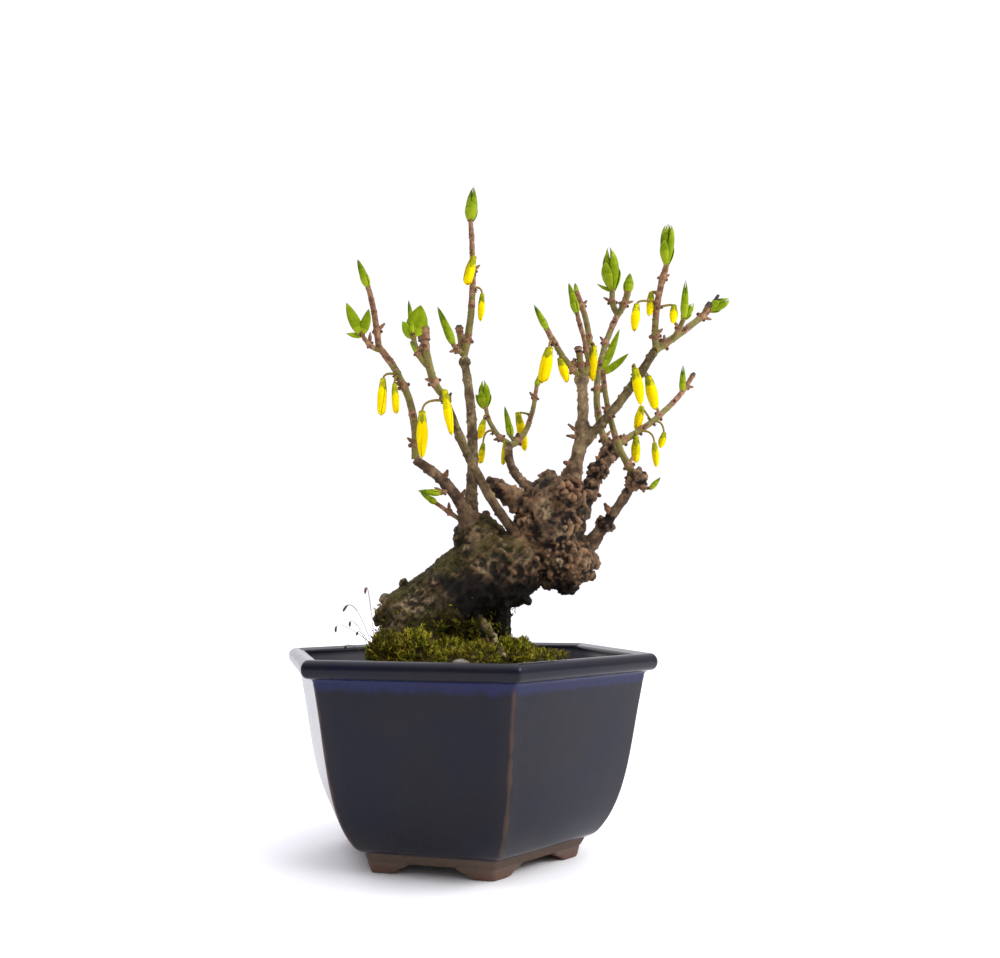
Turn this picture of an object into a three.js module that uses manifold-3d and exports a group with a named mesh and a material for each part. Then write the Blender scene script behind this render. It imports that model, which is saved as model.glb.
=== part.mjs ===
// A weeping forsythia grown as a small bonsai, in its six-sided glazed pot.
// Lengths are in millimetres and +Z is up. Places are measured from the pot's axis at the ground,
// with +X to the right and +Y away from the side that shows the tree best.
import * as THREE from 'three';
import { mergeVertices } from 'three/addons/utils/BufferGeometryUtils.js';
import Module from 'manifold-3d';

const wasm = await Module();
wasm.setup();

const GAP = 0.32; // clear space between two pieces that rest on each other

// The pot: a hexagon in plan, so every radius below is the distance from its axis to a corner.
const POT = {
  corner: THREE.MathUtils.degToRad(-16.65), // direction of one corner
  cornerCut: 1.2, // how far each corner is rounded back along both its sides
  wall: 5,
  floorTop: 11,
  bodyFoot: 3.6, // height where the body starts above its feet
  wallCurve: [[41.8, 6.2], [46.6, 9], [52, 17], [56.2, 29], [60.2, 48.5], [62.1, 57.6]],
  cove: [63.2, 60.4], // the hollow line under the lip
  rimTop: 66.5,
  rimRadius: 67,
  rimRoll: 1.5, // radius of the rounded edge of the lip
  rimWidth: 6.4,
  rimSlope: 0.6, // how much the lip falls towards the inside
  floorRound: 4, // how far the floor's edge slopes up into the wall
  footOuter: 40.6, // the ring that the feet are cut from, where it meets the body
  footInner: 31,
  footBottom: 39.2,
  footBond: 0.8, // how far that ring is sunk into the body
  footGapBottom: 26.5, // the gap between two feet, at the ground and at its top
  footGapTop: 14.5,
  footLedge: { out: 2, low: 0.4, high: 1.6 }, // the small step on each side of a gap
  drainRadius: 6,
};

const SOIL = {
  edgeTop: 55, // where the soil meets the pot's wall, well below the lip
  moundRadius: 32,
  moundTop: 63.6,
  topRadius: 25,
  skirt: [[6, -10], [4, 1], [0, 5]], // the mound's foot: steps out from its radius, and heights
};

// Each cushion of moss is a heap of low lumps round the trunk's foot: the arc that it covers in
// degrees, its nearest and furthest place from the axis, and its least and greatest height.
const MOSS = {
  moss_left: { from: 150, to: 236, out: [18, 31], height: [6, 11], seed: 3 },
  moss_front: { from: 242, to: 296, out: [12, 27], height: [3, 8], seed: 4 },
  moss_right: { from: 306, to: 394, out: [21, 31], height: [4, 8.5], seed: 5 },
  moss_back: { from: 404, to: 496, out: [20, 31], height: [4, 8], seed: 6 },
};
const MOSS_LUMPS = 5;
const MOSS_LUMP_RADIUS = [6.2, 8];

const CUT = 64; // height of the flat cut under the trunk
const TRUNK_SIDES = 10;
const TRUNK_STEP = 7; // length of limb between two of its rings

// The trunk's masses, each an ellipsoid with its centre and its three half axes.
const TRUNK_LUMPS = {
  left_lump: { at: [-17.6, -3, 79], half: [11.4, 11.2, 11.2] },
  shoulder: { at: [4.8, 0, 105.6], half: [8.8, 9, 8.6] },
  neck: { at: [17, 0, 96.5], half: [12.5, 12.5, 11.5] },
  neck_foot: { at: [18, 0, 86.5], half: [4.6, 6, 4.6] },
  head_low: { at: [34.4, 0, 98.6], half: [11.8, 11.5, 10.8] },
  head_middle: { at: [30.2, 0, 110], half: [12.5, 12.5, 12] },
  head_top: { at: [32, 0, 120], half: [10.5, 10, 7.5] },
  head_knob: { at: [30.3, 2, 127], half: [2.6, 2.8, 3] },
  head_side: { at: [44, 0, 97.5], half: [3.4, 3.6, 3.2] },
  head_foot: { at: [36, 0, 88.6], half: [3.6, 4, 3.4] },
};

// The trunk's limbs: each runs from one place to another, pushed aside at its middle by its bow.
const TRUNK_LIMBS = {
  log: { from: [-20.5, -3, 75], to: [14, 0, 97.5], bow: [0.6, 0, 2.4], r: [9.8, 13.2] },
  left_flare: { from: [-17.6, -3, 80], to: [-18.6, -4, 58], bow: [-0.4, 0, 0], r: [10.6, 12.4] },
  back_root: { from: [0, 2, 88], to: [-3, 9, 58], bow: [0, 1, 0], r: [9, 11.5] },
  right_leg: { from: [13.4, 2, 88], to: [12.6, 3, 60], bow: [-0.5, 0, 0], r: [4, 3.5] },
  front_root: { from: [2, -1, 80], to: [12.6, -23, 62], bow: [1.6, -1.5, 1.4], r: [2.2, 1.5] },
  left_root: { from: [-22, -6, 68], to: [-33, -13, 61], bow: [0, 0, 1], r: [4.6, 1.8] },
  rear_root: { from: [6, 10, 72], to: [20, 22, 61], bow: [0, 1, 1.4], r: [4.6, 1.8] },
  shoulder_top: { from: [5, 0, 106], to: [4, 0, 113.6], bow: [0, 0, 0], r: [8, 4.4] },
  dead_stub: { from: [22, -2, 116], to: [7.6, -5, 124.4], bow: [0.8, 0, 0.6], r: [3.9, 2.5] },
  cut_face: { from: [34, 0, 118], to: [37.2, -12.4, 122.4], bow: [0, 0, 0], r: [5.4, 4.2] },
};

// Small knobs dealt out over the trunk's masses, each sunk in by a share of its own size.
const KNOBS = {
  hosts: ['left_lump', 'shoulder', 'head_low', 'head_middle', 'head_top', 'neck'],
  count: 20,
  size: [1.5, 3.1],
  sink: 0.35,
  seed: 11,
};

// The boughs, in the order in which they are fitted, so a bough comes after what it grows from.
// on and at say which bough carries it and how far along; a bough without them leaves the trunk.
const BOUGHS = {
  tall_bough: { from: [1.2, 1.4, 109], to: [-0.5, 6, 172.5], bow: [2.5, 0.5, 0], r: [2.7, 1.7] },
  stub_bough: { from: [1.5, -2.6, 109], to: [-17, -15, 131.5], bow: [4, -1, 0.4], r: [2.6, 1.8] },
  slanting_bough: { from: [19, -4.6, 105.5], to: [-7, -21, 152.5], bow: [-1.1, -1, -3.5], r: [1.9, 1.5] },
  curved_bough: { from: [26, 3, 122], to: [16.5, 12, 140.5], bow: [-3.2, 0.5, -1], r: [2.2, 1.7] },
  main_bough: { from: [34.5, 0, 120], to: [42, -2, 162.5], bow: [3, 0, -2.5], r: [3.5, 2] },
  long_bough: { on: 'main_bough', at: 0.46, to: [66, -15, 170], bow: [0.8, 0, -1.6], r: [2.1, 1.8] },
  gnarled_bough: { from: [42, 7, 113.5], to: [56, 14, 141], bow: [-1.5, 0, 0.5], r: [3.2, 2.7] },
  low_bough: { from: [40, -2, 98], to: [60.4, -7, 126], bow: [-0.3, 0, -1.2], r: [2.7, 2] },
};

// Swollen places on the boughs: how far along, and the half width of the swelling.
const BURLS = [
  { on: 'main_bough', at: 1, size: 2.9 },
  { on: 'main_bough', at: 0.62, size: 2.9 },
  { on: 'gnarled_bough', at: 0.3, size: 3.9 },
  { on: 'gnarled_bough', at: 0.62, size: 4.2 },
  { on: 'gnarled_bough', at: 0.94, size: 4 },
  { on: 'low_bough', at: 0.45, size: 2.9 },
  { on: 'low_bough', at: 1, size: 4 },
  { on: 'tall_bough', at: 0.97, size: 2.4 },
  { on: 'slanting_bough', at: 0.98, size: 2.2 },
];

// The masses of twigs. Each starts with its stem, which leaves its bough (or the trunk) at the
// place given, and each other twig leaves a twig that is named before it.
const MASSES = {
  left_outer_spray: {
    stem: { on: 'stub_bough', at: 1, to: [-29, -23, 168.5], bow: [4, 0, 1.5], r: [1.6, 1.35] },
    rise: { on: 'stem', at: 1, to: [-33, -25, 189.5], bow: [0.5, 0, 1], r: [1.3, 1] },
    side: { on: 'stem', at: 0.97, to: [-34.5, -27, 172], bow: [0, 0, -1.5], r: [1.1, 0.8] },
  },
  tall_spray: {
    stem: { on: 'tall_bough', at: 1, to: [2, 1, 223.5], bow: [1.8, 0.5, -4], r: [1.7, 1] },
    side: { on: 'stem', at: 0.03, to: [-4.5, 2, 177], bow: [-0.5, 0, -0.8], r: [1.3, 1.1] },
    stub: { on: 'stem', at: 0.02, to: [-2, 10, 183], bow: [0, 0.5, -0.5], r: [1.6, 1.5] },
  },
  slanting_spray: {
    stem: { on: 'slanting_bough', at: 1, to: [-14, -28, 174], bow: [-0.8, -0.5, -4], r: [1.6, 1.8] },
    side: { on: 'stem', at: 0.45, to: [-17, -30, 171], bow: [-1.2, 0.5, -0.5], r: [1.3, 1] },
  },
  curved_spray: {
    stem: { on: 'curved_bough', at: 1, to: [28, 26, 166.5], bow: [1.5, 1, -4.6], r: [1.5, 1] },
    left: { on: 'stem', at: 0.04, to: [8, 28, 158.5], bow: [-1.5, 0, -2], r: [1.3, 1] },
    short: { on: 'stem', at: 0.1, to: [16, 20, 151], bow: [-0.5, 0.6, 0.5], r: [0.9, 0.8] },
  },
  main_spray: {
    stem: { on: 'main_bough', at: 1, to: [42, 10, 199], bow: [4, 0, -4], r: [1.7, 1.2] },
    left: { on: 'stem', at: 0.02, to: [28, -18, 177], bow: [-0.2, 0, -1.8], r: [1.5, 1.2] },
    stub: { on: 'stem', at: 0.03, to: [40, -10, 171], bow: [0, 0, 0], r: [1.4, 1.4] },
    thin: { on: 'stem', at: 0.2, to: [40, -5, 187], bow: [0, 0, 1.5], r: [1.1, 0.9] },
  },
  high_leaf_spray: {
    stem: { on: 'gnarled_bough', at: 0.9, to: [62, 36, 198.5], bow: [-7, -2, -3], r: [1.6, 1.4] },
    left: { on: 'stem', at: 0.99, to: [60.5, 40, 210], bow: [-1, 0, -0.5], r: [1.5, 1.3] },
    right: { on: 'stem', at: 0.98, to: [65.5, 33, 207], bow: [0.5, -0.5, -0.5], r: [1.5, 1.6] },
  },
  right_spray: {
    stem: { on: 'gnarled_bough', at: 1, to: [91, 36, 172], bow: [3.4, 1, -0.8], r: [1.6, 1.1] },
  },
  long_spray: {
    stem: { on: 'long_bough', at: 1, to: [88.5, -5, 188], bow: [0.4, 0, -0.4], r: [1.7, 1.3] },
    rise: { on: 'stem', at: 0.03, to: [68.5, -26, 197.5], bow: [-1.6, 0.5, -1], r: [1.5, 1.2] },
    side: { on: 'stem', at: 0.3, to: [75, -22, 180.5], bow: [0.4, -0.5, -0.3], r: [1.2, 1] },
  },
  low_spray: {
    stem: { on: 'low_bough', at: 1, to: [50.4, 2, 167], bow: [-2.4, -1.5, -3], r: [1.6, 1] },
  },
  slanting_blossom: {
    stem: { on: 'slanting_bough', at: 0.93, to: [-6.2, -24.5, 151.6], bow: [0, 0, 0], r: [1, 0.9] },
  },
  long_bough_blossom: {
    stem: { on: 'long_bough', at: 0.7, to: [58.4, -14.6, 164.6], bow: [0, 0, 0.4], r: [0.9, 0.7] },
  },
  low_shoot: {
    stem: { on: 'low_bough', at: 0.95, to: [64.6, -12, 122.4], bow: [0.4, 0, -0.8], r: [0.9, 0.7] },
  },
  stub_shoot: {
    stem: { on: 'stub_bough', at: 0.52, to: [-9, -15, 120], bow: [-0.5, 0, -0.8], r: [0.9, 0.7] },
  },
  foot_shoot: {
    stem: { from: [-0.5, -3, 111], to: [-10.5, -9, 117.6], bow: [0, -0.5, 0], r: [1, 0.8] },
  },
};

// Leaf shoots: the twig and place each stands on, the way it points, its length and its width.
const SHOOTS = {
  left_outer_spray: [
    { on: 'rise', at: 1, way: [-0.4, -0.1, 1], size: [9, 2.8] },
    { on: 'side', at: 1, way: [-0.5, -0.2, 1], size: [12, 4] },
    { on: 'side', at: 0.98, way: [0.35, -0.3, 1], size: [9.5, 3.6] },
    { on: 'side', at: 0.94, way: [-1, 0, 0.05], size: [6, 2.4] },
  ],
  tall_spray: [
    { on: 'stem', at: 1, way: [0.05, 0, 1], size: [12, 4.6] },
    { on: 'side', at: 1, way: [-0.42, -0.1, 1], size: [14, 2.6] },
    { on: 'side', at: 0.95, way: [-0.65, -0.4, 1], size: [8, 2.6] },
  ],
  slanting_spray: [
    { on: 'side', at: 1, way: [0.25, 0, 1], size: [11, 7.4] },
    { on: 'side', at: 0.98, way: [-0.15, 0.3, 1], size: [15, 2.4] },
    { on: 'side', at: 0.94, way: [-0.7, -0.2, 0.9], size: [7, 4] },
    { on: 'side', at: 0.55, way: [-0.8, -0.5, 1], size: [5, 2] },
  ],
  curved_spray: [
    { on: 'left', at: 1, way: [-0.3, 0, 1], size: [9.5, 4.4] },
    { on: 'left', at: 0.97, way: [-0.75, 0.1, 1], size: [7.5, 3.2] },
    { on: 'short', at: 1, way: [-0.1, 0.2, 1], size: [9, 2.6] },
    { on: 'stem', at: 1, way: [0.3, 0.2, 1], size: [7, 2.4] },
  ],
  main_spray: [
    { on: 'left', at: 1, way: [-0.6, -0.3, 1], size: [10, 2.6] },
    { on: 'thin', at: 1, way: [-0.2, 0, 1], size: [11, 2.8] },
    { on: 'stem', at: 1, way: [-0.1, 0.3, 1], size: [5, 2] },
  ],
  high_leaf_spray: [
    { on: 'left', at: 1, way: [-0.15, 0, 1], size: [17, 6.8] },
    { on: 'left', at: 0.95, way: [-1, -0.1, 0.35], size: [6.5, 2] },
    { on: 'left', at: 0.92, way: [0.55, 0.1, 1], size: [5.5, 1.8] },
    { on: 'right', at: 1, way: [0.15, 0, 1], size: [8, 3.6] },
  ],
  right_spray: [
    { on: 'stem', at: 0.86, way: [-0.05, 0, 1], size: [10, 2.6] },
    { on: 'stem', at: 1, way: [0.6, 0.3, 0.7], size: [4, 2] },
  ],
  long_spray: [
    { on: 'stem', at: 1, way: [0.9, -0.1, 0.7], size: [7, 3.4] },
    { on: 'side', at: 1, way: [0.05, -0.1, 1], size: [12.5, 2.7] },
    { on: 'side', at: 0.9, way: [0.7, 0, 0.8], size: [6, 2] },
    { on: 'rise', at: 1, way: [0.05, 0, 1], size: [14.5, 4.6] },
  ],
  low_spray: [
    { on: 'stem', at: 1, way: [0.42, 0.1, 1], size: [17, 4] },
    { on: 'stem', at: 0.97, way: [1, -0.2, 0.55], size: [11, 3.6] },
  ],
  low_shoot: [{ on: 'stem', at: 1, way: [0.7, -0.2, 0.8], size: [5.5, 2] }],
  stub_shoot: [{ on: 'stem', at: 1, way: [-1, -0.1, 0.1], size: [8, 2.4] }],
  foot_shoot: [{ on: 'stem', at: 1, way: [-0.9, -0.2, 0.6], size: [7, 2.4] }],
};

// Blossoms, still folded: each hangs from a stalk that leaves its twig the way given and reaches
// that far out, and its size is its length and its width.
const BLOSSOMS = {
  left_outer_spray: [
    { on: 'stem', at: 0.74, way: [-1, -0.4, 0], reach: 4.4, size: [13, 3.4] },
    { on: 'stem', at: 0.7, way: [-0.2, -1, 0], reach: 2.6, size: [11, 2.5] },
  ],
  tall_spray: [
    { on: 'stem', at: 0.7, way: [-0.3, -1, 0], reach: 2.4, size: [11.5, 3] },
    { on: 'stem', at: 0.48, way: [1, -0.2, 0], reach: 3.4, size: [9, 2.4] },
  ],
  slanting_blossom: [
    { on: 'stem', at: 0.9, way: [0.5, -1, 0.2], reach: 1.8, size: [13.5, 4] },
    { on: 'stem', at: 0.8, way: [-1, -0.2, 0], reach: 6.4, size: [15.5, 4.2] },
  ],
  curved_spray: [
    { on: 'stem', at: 0.26, way: [-0.5, -1, 0], reach: 2.6, size: [7.5, 3.2] },
    { on: 'stem', at: 0.16, way: [0.4, -1, 0], reach: 2.2, size: [7.5, 3.4] },
    { on: 'left', at: 0.62, way: [-0.9, -0.3, 0], reach: 3, size: [7.5, 3.4] },
    { on: 'left', at: 0.4, way: [-1, -0.2, 0], reach: 4.6, size: [7.5, 2.8] },
    { on: 'left', at: 0.16, way: [-0.7, -0.9, 0], reach: 3, size: [7, 2.2] },
  ],
  main_spray: [
    { on: 'left', at: 0.62, way: [-1, -0.3, 0.1], reach: 4.6, size: [13.5, 4.6] },
    { on: 'left', at: 0.42, way: [0.5, 0.9, 0], reach: 2.4, size: [9, 3.6] },
    { on: 'stem', at: 0.42, way: [0.8, -0.8, 0], reach: 2.4, size: [15, 3.4] },
  ],
  right_spray: [
    { on: 'stem', at: 0.2, way: [0.1, -1, 0], reach: 2.4, size: [10.5, 3] },
    { on: 'stem', at: 0.27, way: [1, -0.3, 0], reach: 3.2, size: [8.5, 2.4] },
    { on: 'stem', at: 0.36, way: [-0.6, -0.6, 0.9], reach: 5, size: [8.5, 3] },
    { on: 'stem', at: 0.47, way: [0.2, -0.9, 0], reach: 1.8, size: [6.5, 3] },
  ],
  long_spray: [
    { on: 'rise', at: 0.54, way: [-1, -0.2, 0], reach: 4.8, size: [10.5, 3] },
    { on: 'rise', at: 0.58, way: [-0.2, 1, 0], reach: 2.2, size: [8, 2.4] },
    { on: 'rise', at: 0.54, way: [1, -0.2, 0], reach: 4.2, size: [7, 2.6] },
    { on: 'stem', at: 0.16, way: [0.9, -0.8, -0.1], reach: 4, size: [14, 3.6] },
  ],
  long_bough_blossom: [
    { on: 'stem', at: 0.9, way: [0.2, -1, 0.2], reach: 2.2, size: [14, 4] },
  ],
};

const BOUGH = { sides: 8, step: 8, swell: [1.12, 1.02] }; // every other ring is swollen
const BURL_HEIGHT = 0.9; // a burl's height, as a share of its width
const TWIG_SIDES = 5;
const NODE_SPACING = 11.5; // distance between two pairs of buds along a twig
const NODE_SWELL = { wide: 1.5, narrow: 1.1 }; // a node's two widths, as shares of the twig's
const BUD = { length: [1.8, 3.8], width: 1.5, lean: 0.8 }; // the side buds that the rule deals out
const MASS_SPACE = 20; // how far a mass may reach past its own twigs
const STALK = { arch: 0.8, drop: 1.4, radius: 0.5 };
const ROOT_SINK = 0.8; // how deep the root of a shoot or bud is sunk into its twig
const SHOOT_DEPTH = 0.6; // a closed shoot's thickness, as a share of its width
const SHOOT_WIDEST = 0.4; // how far along a shoot is widest
// A folded blossom from its stalk to its tip: radius in widths, and place in lengths.
const BLOSSOM_OUTLINE = [[0, 0.05], [0.3, 0], [0.36, -0.25], [0.5, -0.7], [0, -1]];
const GOLDEN = 0.618; // spreads places evenly with no pattern
const SEED = 41; // the first mass's seed: each later mass takes the next one

const BARK = new THREE.Color(0x6b5848);
const BARK_DARK = new THREE.Color(0x54463a);
const TWIG = new THREE.Color(0x827c4b);
const GLAZE = new THREE.Color(0x10131f);
const EARTH = new THREE.Color(0x2c2118);
const MOSS_GREEN = new THREE.Color(0x4a5a20);

// The same numbers in the same order each time, from 0 up to 1.
function seeded(seed) {
  let state = seed >>> 0;
  return () => {
    state = (state + 0x6d2b79f5) >>> 0;
    let mixed = Math.imul(state ^ (state >>> 15), state | 1);
    mixed ^= mixed + Math.imul(mixed ^ (mixed >>> 7), mixed | 61);
    return ((mixed ^ (mixed >>> 14)) >>> 0) / 4294967296;
  };
}

function vector(place) {
  return new THREE.Vector3(...place);
}

// A closed geometry becomes a solid that can be joined and cut.
function solidOf(geometry) {
  const bare = geometry.clone();
  bare.deleteAttribute('normal');
  bare.deleteAttribute('uv');
  const merged = mergeVertices(bare, 1e-4);
  const corners = merged.index.array;
  const faces = [];
  for (let i = 0; i < corners.length; i += 3) {
    const [a, b, c] = corners.slice(i, i + 3);
    if (a !== b && b !== c && c !== a) faces.push(a, b, c);
  }
  return new wasm.Manifold(new wasm.Mesh({
    numProp: 3,
    vertProperties: new Float32Array(merged.attributes.position.array),
    triVerts: new Uint32Array(faces),
  }));
}

// The biggest piece of a solid, without the loose scraps that a cut can leave.
function mainPiece(solid) {
  const pieces = solid.decompose();
  pieces.sort((a, b) => b.volume() - a.volume());
  return pieces[0];
}

function fuse(solids) {
  return wasm.Manifold.union(solids);
}

function meshOf(name, solid, color, roughness) {
  const { vertProperties, triVerts } = solid.getMesh();
  const geometry = new THREE.BufferGeometry();
  geometry.setAttribute('position', new THREE.BufferAttribute(new Float32Array(vertProperties), 3));
  geometry.setIndex(new THREE.BufferAttribute(new Uint32Array(triVerts), 1));
  geometry.computeVertexNormals();
  const material = new THREE.MeshStandardMaterial({ color, roughness, metalness: 0 });
  const mesh = new THREE.Mesh(geometry, material);
  mesh.name = name;
  return mesh;
}

// A curve from one place to another whose middle is pushed aside by the bow.
function bowedCurve({ from, to, bow }) {
  const start = vector(from);
  const end = vector(to);
  const middle = start.clone().add(end).multiplyScalar(0.5).addScaledVector(vector(bow), 2);
  return new THREE.QuadraticBezierCurve3(start, middle, end);
}

// A tapering limb: a cylinder whose rings are laid along a curve. stretch says how much wider
// each ring is across each of its two directions, and grow makes the limb thicker and longer.
function limb(curve, radii, sides, steps, grow = 0, stretch = () => [1, 1]) {
  const geometry = new THREE.CylinderGeometry(1, 1, 1, sides, steps);
  const frames = curve.computeFrenetFrames(steps, false);
  const corners = geometry.attributes.position;
  for (let i = 0; i < corners.count; i += 1) {
    const along = corners.getY(i) + 0.5;
    const ring = Math.round(along * steps);
    const [wide, deep] = stretch(ring);
    const radius = THREE.MathUtils.lerp(radii[0], radii[1], along);
    const place = curve.getPointAt(along);
    if (ring === 0) place.addScaledVector(frames.tangents[0], -grow);
    if (ring === steps) place.addScaledVector(frames.tangents[steps], grow);
    place.addScaledVector(frames.normals[ring], corners.getX(i) * (radius * wide + grow));
    place.addScaledVector(frames.binormals[ring], -corners.getZ(i) * (radius * deep + grow));
    corners.setXYZ(i, place.x, place.y, place.z);
  }
  return solidOf(geometry);
}

function lump({ at, half }, grow = 0, detail = 2) {
  const geometry = new THREE.IcosahedronGeometry(1, detail);
  geometry.scale(half[0] + grow, half[1] + grow, half[2] + grow);
  geometry.translate(...at);
  return solidOf(geometry);
}

// The pot

// A profile turned into a six-sided body: a lathe of twelve corners, drawn out in pairs to the
// hexagon's corners, so each corner has a narrow flat face.
function hexagonalLathe(profile) {
  const outline = profile.map(([radius, height]) => new THREE.Vector2(radius, height));
  const geometry = new THREE.LatheGeometry(outline, 12);
  geometry.rotateX(Math.PI / 2);
  const corners = geometry.attributes.position;
  const cornerAt = (index, radius) => {
    const angle = POT.corner + (index * Math.PI) / 3;
    return new THREE.Vector3(radius * Math.cos(angle), radius * Math.sin(angle), 0);
  };
  for (let i = 0; i < corners.count; i += 1) {
    const radius = Math.hypot(corners.getX(i), corners.getY(i));
    const station = Math.round(Math.atan2(corners.getY(i), corners.getX(i)) / (Math.PI / 6));
    const index = Math.ceil(station / 2);
    const side = station % 2 === 0 ? 1 : -1;
    const corner = cornerAt(index, radius);
    const towards = cornerAt(index + side, radius).sub(corner);
    if (radius > POT.cornerCut) corner.addScaledVector(towards.normalize(), POT.cornerCut);
    corners.setXY(i, corner.x, corner.y);
  }
  return solidOf(geometry);
}

function wallOutline(inwards) {
  const points = POT.wallCurve.map(([radius, height]) => new THREE.Vector2(radius - inwards, height));
  return new THREE.SplineCurve(points).getPoints(8).map(({ x, y }) => [x, y]);
}

// The rounded edge of the lip, from its underside over its outermost line to its top.
function lipOutline() {
  const { cove, rimRadius, rimTop, rimRoll } = POT;
  const roll = [-0.3, 0, 0.3, 0.5].map((turn) => [
    rimRadius - rimRoll + rimRoll * Math.cos(turn * Math.PI),
    rimTop - rimRoll + rimRoll * Math.sin(turn * Math.PI),
  ]);
  return [cove, ...roll];
}

// The space between two feet, as a bar that runs right through under two opposite sides.
function footGapCutter() {
  const half = POT.footGapTop / 2;
  const spread = POT.footGapBottom / 2;
  const { out, low, high } = POT.footLedge;
  const below = -1;
  const side = [[spread, below], [spread, low], [half + out, high], [half, POT.bodyFoot]];
  const otherSide = side.map(([x, y]) => [-x, y]).reverse();
  const outline = new THREE.Shape([...side, ...otherSide].map(([x, y]) => new THREE.Vector2(x, y)));
  const length = 4 * POT.footOuter;
  const geometry = new THREE.ExtrudeGeometry(outline, { depth: length, bevelEnabled: false });
  geometry.translate(0, 0, -length / 2);
  geometry.rotateX(Math.PI / 2);
  return geometry;
}

function potSolid() {
  const { wall, floorTop, floorRound, bodyFoot, rimRadius, rimWidth, rimTop, rimSlope } = POT;
  const { footOuter, footInner, footBottom, footBond, drainRadius } = POT;
  const inner = wallOutline(wall).filter(([, height]) => height > floorTop + 2).reverse();
  const floorEdge = inner.at(-1)[0] - floorRound;
  const body = hexagonalLathe([
    [0, bodyFoot],
    [footOuter, bodyFoot],
    ...wallOutline(0),
    ...lipOutline(),
    [rimRadius - rimWidth, rimTop - rimSlope],
    ...inner,
    [floorEdge, floorTop],
    [0, floorTop],
  ]);
  const footRing = hexagonalLathe([
    [footInner, bodyFoot + footBond],
    [footInner, 0],
    [footBottom, 0],
    [footOuter - footBond, bodyFoot],
    [footOuter - footBond, bodyFoot + footBond],
    [footInner, bodyFoot + footBond],
  ]);
  let pot = fuse([body, footRing]);
  for (let side = 0; side < 3; side += 1) {
    const cutter = footGapCutter();
    cutter.rotateZ(POT.corner + (side * Math.PI) / 3);
    pot = pot.subtract(solidOf(cutter));
  }
  const drain = new THREE.CylinderGeometry(drainRadius, drainRadius, 4 * floorTop, 16);
  drain.rotateX(Math.PI / 2);
  return pot.subtract(solidOf(drain));
}

// The earth and the moss

// The soil fills the pot to its edge and rises to a flat-topped mound under the trunk.
function soilSolid(grow = 0) {
  const { edgeTop, moundRadius, moundTop, topRadius, skirt } = SOIL;
  const bottom = POT.floorTop + GAP;
  const side = wallOutline(POT.wall + GAP)
    .filter(([, height]) => height > POT.floorTop + 2 && height < edgeTop);
  const plug = hexagonalLathe([
    [0, bottom],
    [side[0][0] - POT.floorRound, bottom],
    ...side,
    [side.at(-1)[0], edgeTop + grow],
    [0, edgeTop + grow],
  ]);
  const slope = skirt.map(([out, up]) => new THREE.Vector2(moundRadius + out + grow, edgeTop + up + grow));
  const mound = new THREE.LatheGeometry([
    new THREE.Vector2(0, slope[0].y),
    ...slope,
    new THREE.Vector2(topRadius + grow, moundTop + grow),
    new THREE.Vector2(0, moundTop + grow),
  ], 20);
  mound.rotateX(Math.PI / 2);
  return fuse([plug, solidOf(mound)]);
}

function mossSolid({ from, to, out, height, seed }, grow = 0) {
  const random = seeded(seed);
  const lumps = [];
  for (let i = 0; i < MOSS_LUMPS; i += 1) {
    const angle = THREE.MathUtils.degToRad(from + ((i + 0.5) / MOSS_LUMPS) * (to - from));
    const reach = THREE.MathUtils.lerp(...out, (i * GOLDEN) % 1);
    const tall = THREE.MathUtils.lerp(...height, random());
    const at = [reach * Math.cos(angle), reach * Math.sin(angle), SOIL.moundTop - 1];
    const wide = THREE.MathUtils.lerp(...MOSS_LUMP_RADIUS, random());
    const deep = THREE.MathUtils.lerp(...MOSS_LUMP_RADIUS, random());
    lumps.push(lump({ at, half: [wide, deep, tall + 1] }, grow, 1));
  }
  return fuse(lumps);
}

// The trunk

function belowCut() {
  const size = 200;
  const block = new THREE.BoxGeometry(size, size, size);
  block.translate(0, 0, CUT - size / 2);
  return block;
}

function knobSolids(grow) {
  const random = seeded(KNOBS.seed);
  const knobs = [];
  for (let i = 0; i < KNOBS.count; i += 1) {
    const { at, half } = TRUNK_LUMPS[KNOBS.hosts[i % KNOBS.hosts.length]];
    const up = 2 * random() - 1;
    const turn = 2 * Math.PI * random();
    const level = Math.sqrt(1 - up * up);
    const way = [level * Math.cos(turn), level * Math.sin(turn), up];
    const size = THREE.MathUtils.lerp(...KNOBS.size, random());
    const place = at.map((value, axis) => value + way[axis] * (half[axis] - KNOBS.sink * size));
    knobs.push(lump({ at: place, half: [size, size, size] }, grow, 0));
  }
  return knobs;
}

function trunkSolid(grow = 0) {
  const limbs = Object.values(TRUNK_LIMBS).map((row) => {
    const steps = Math.max(2, Math.round(bowedCurve(row).getLength() / TRUNK_STEP));
    return limb(bowedCurve(row), row.r, TRUNK_SIDES, steps, grow);
  });
  const lumps = Object.values(TRUNK_LUMPS).map((row) => lump(row, grow));
  const whole = fuse([...limbs, ...lumps, ...knobSolids(grow)]);
  return grow > 0 ? whole : mainPiece(whole.subtract(solidOf(belowCut())));
}

// The boughs

const curves = {}; // the centre line of each bough

function boughCurve(name) {
  const row = BOUGHS[name];
  const from = row.on ? curves[row.on].getPointAt(row.at).toArray() : row.from;
  return bowedCurve({ ...row, from });
}

function boughSolid(name, grow = 0) {
  const { r } = BOUGHS[name];
  const curve = curves[name];
  const steps = Math.max(3, Math.round(curve.getLength() / BOUGH.step));
  const swell = (ring) => (ring % 2 === 1 ? BOUGH.swell : [1, 1]);
  const solids = [limb(curve, r, BOUGH.sides, steps, grow, swell)];
  for (const { on, at, size } of BURLS) {
    if (on === name) {
      const place = curve.getPointAt(at).toArray();
      solids.push(lump({ at: place, half: [size, size, size * BURL_HEIGHT] }, grow, 1));
    }
  }
  return fuse(solids);
}

// The masses of twigs

function nodeCount(curve) {
  return Math.max(1, Math.round(curve.getLength() / NODE_SPACING));
}

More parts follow.
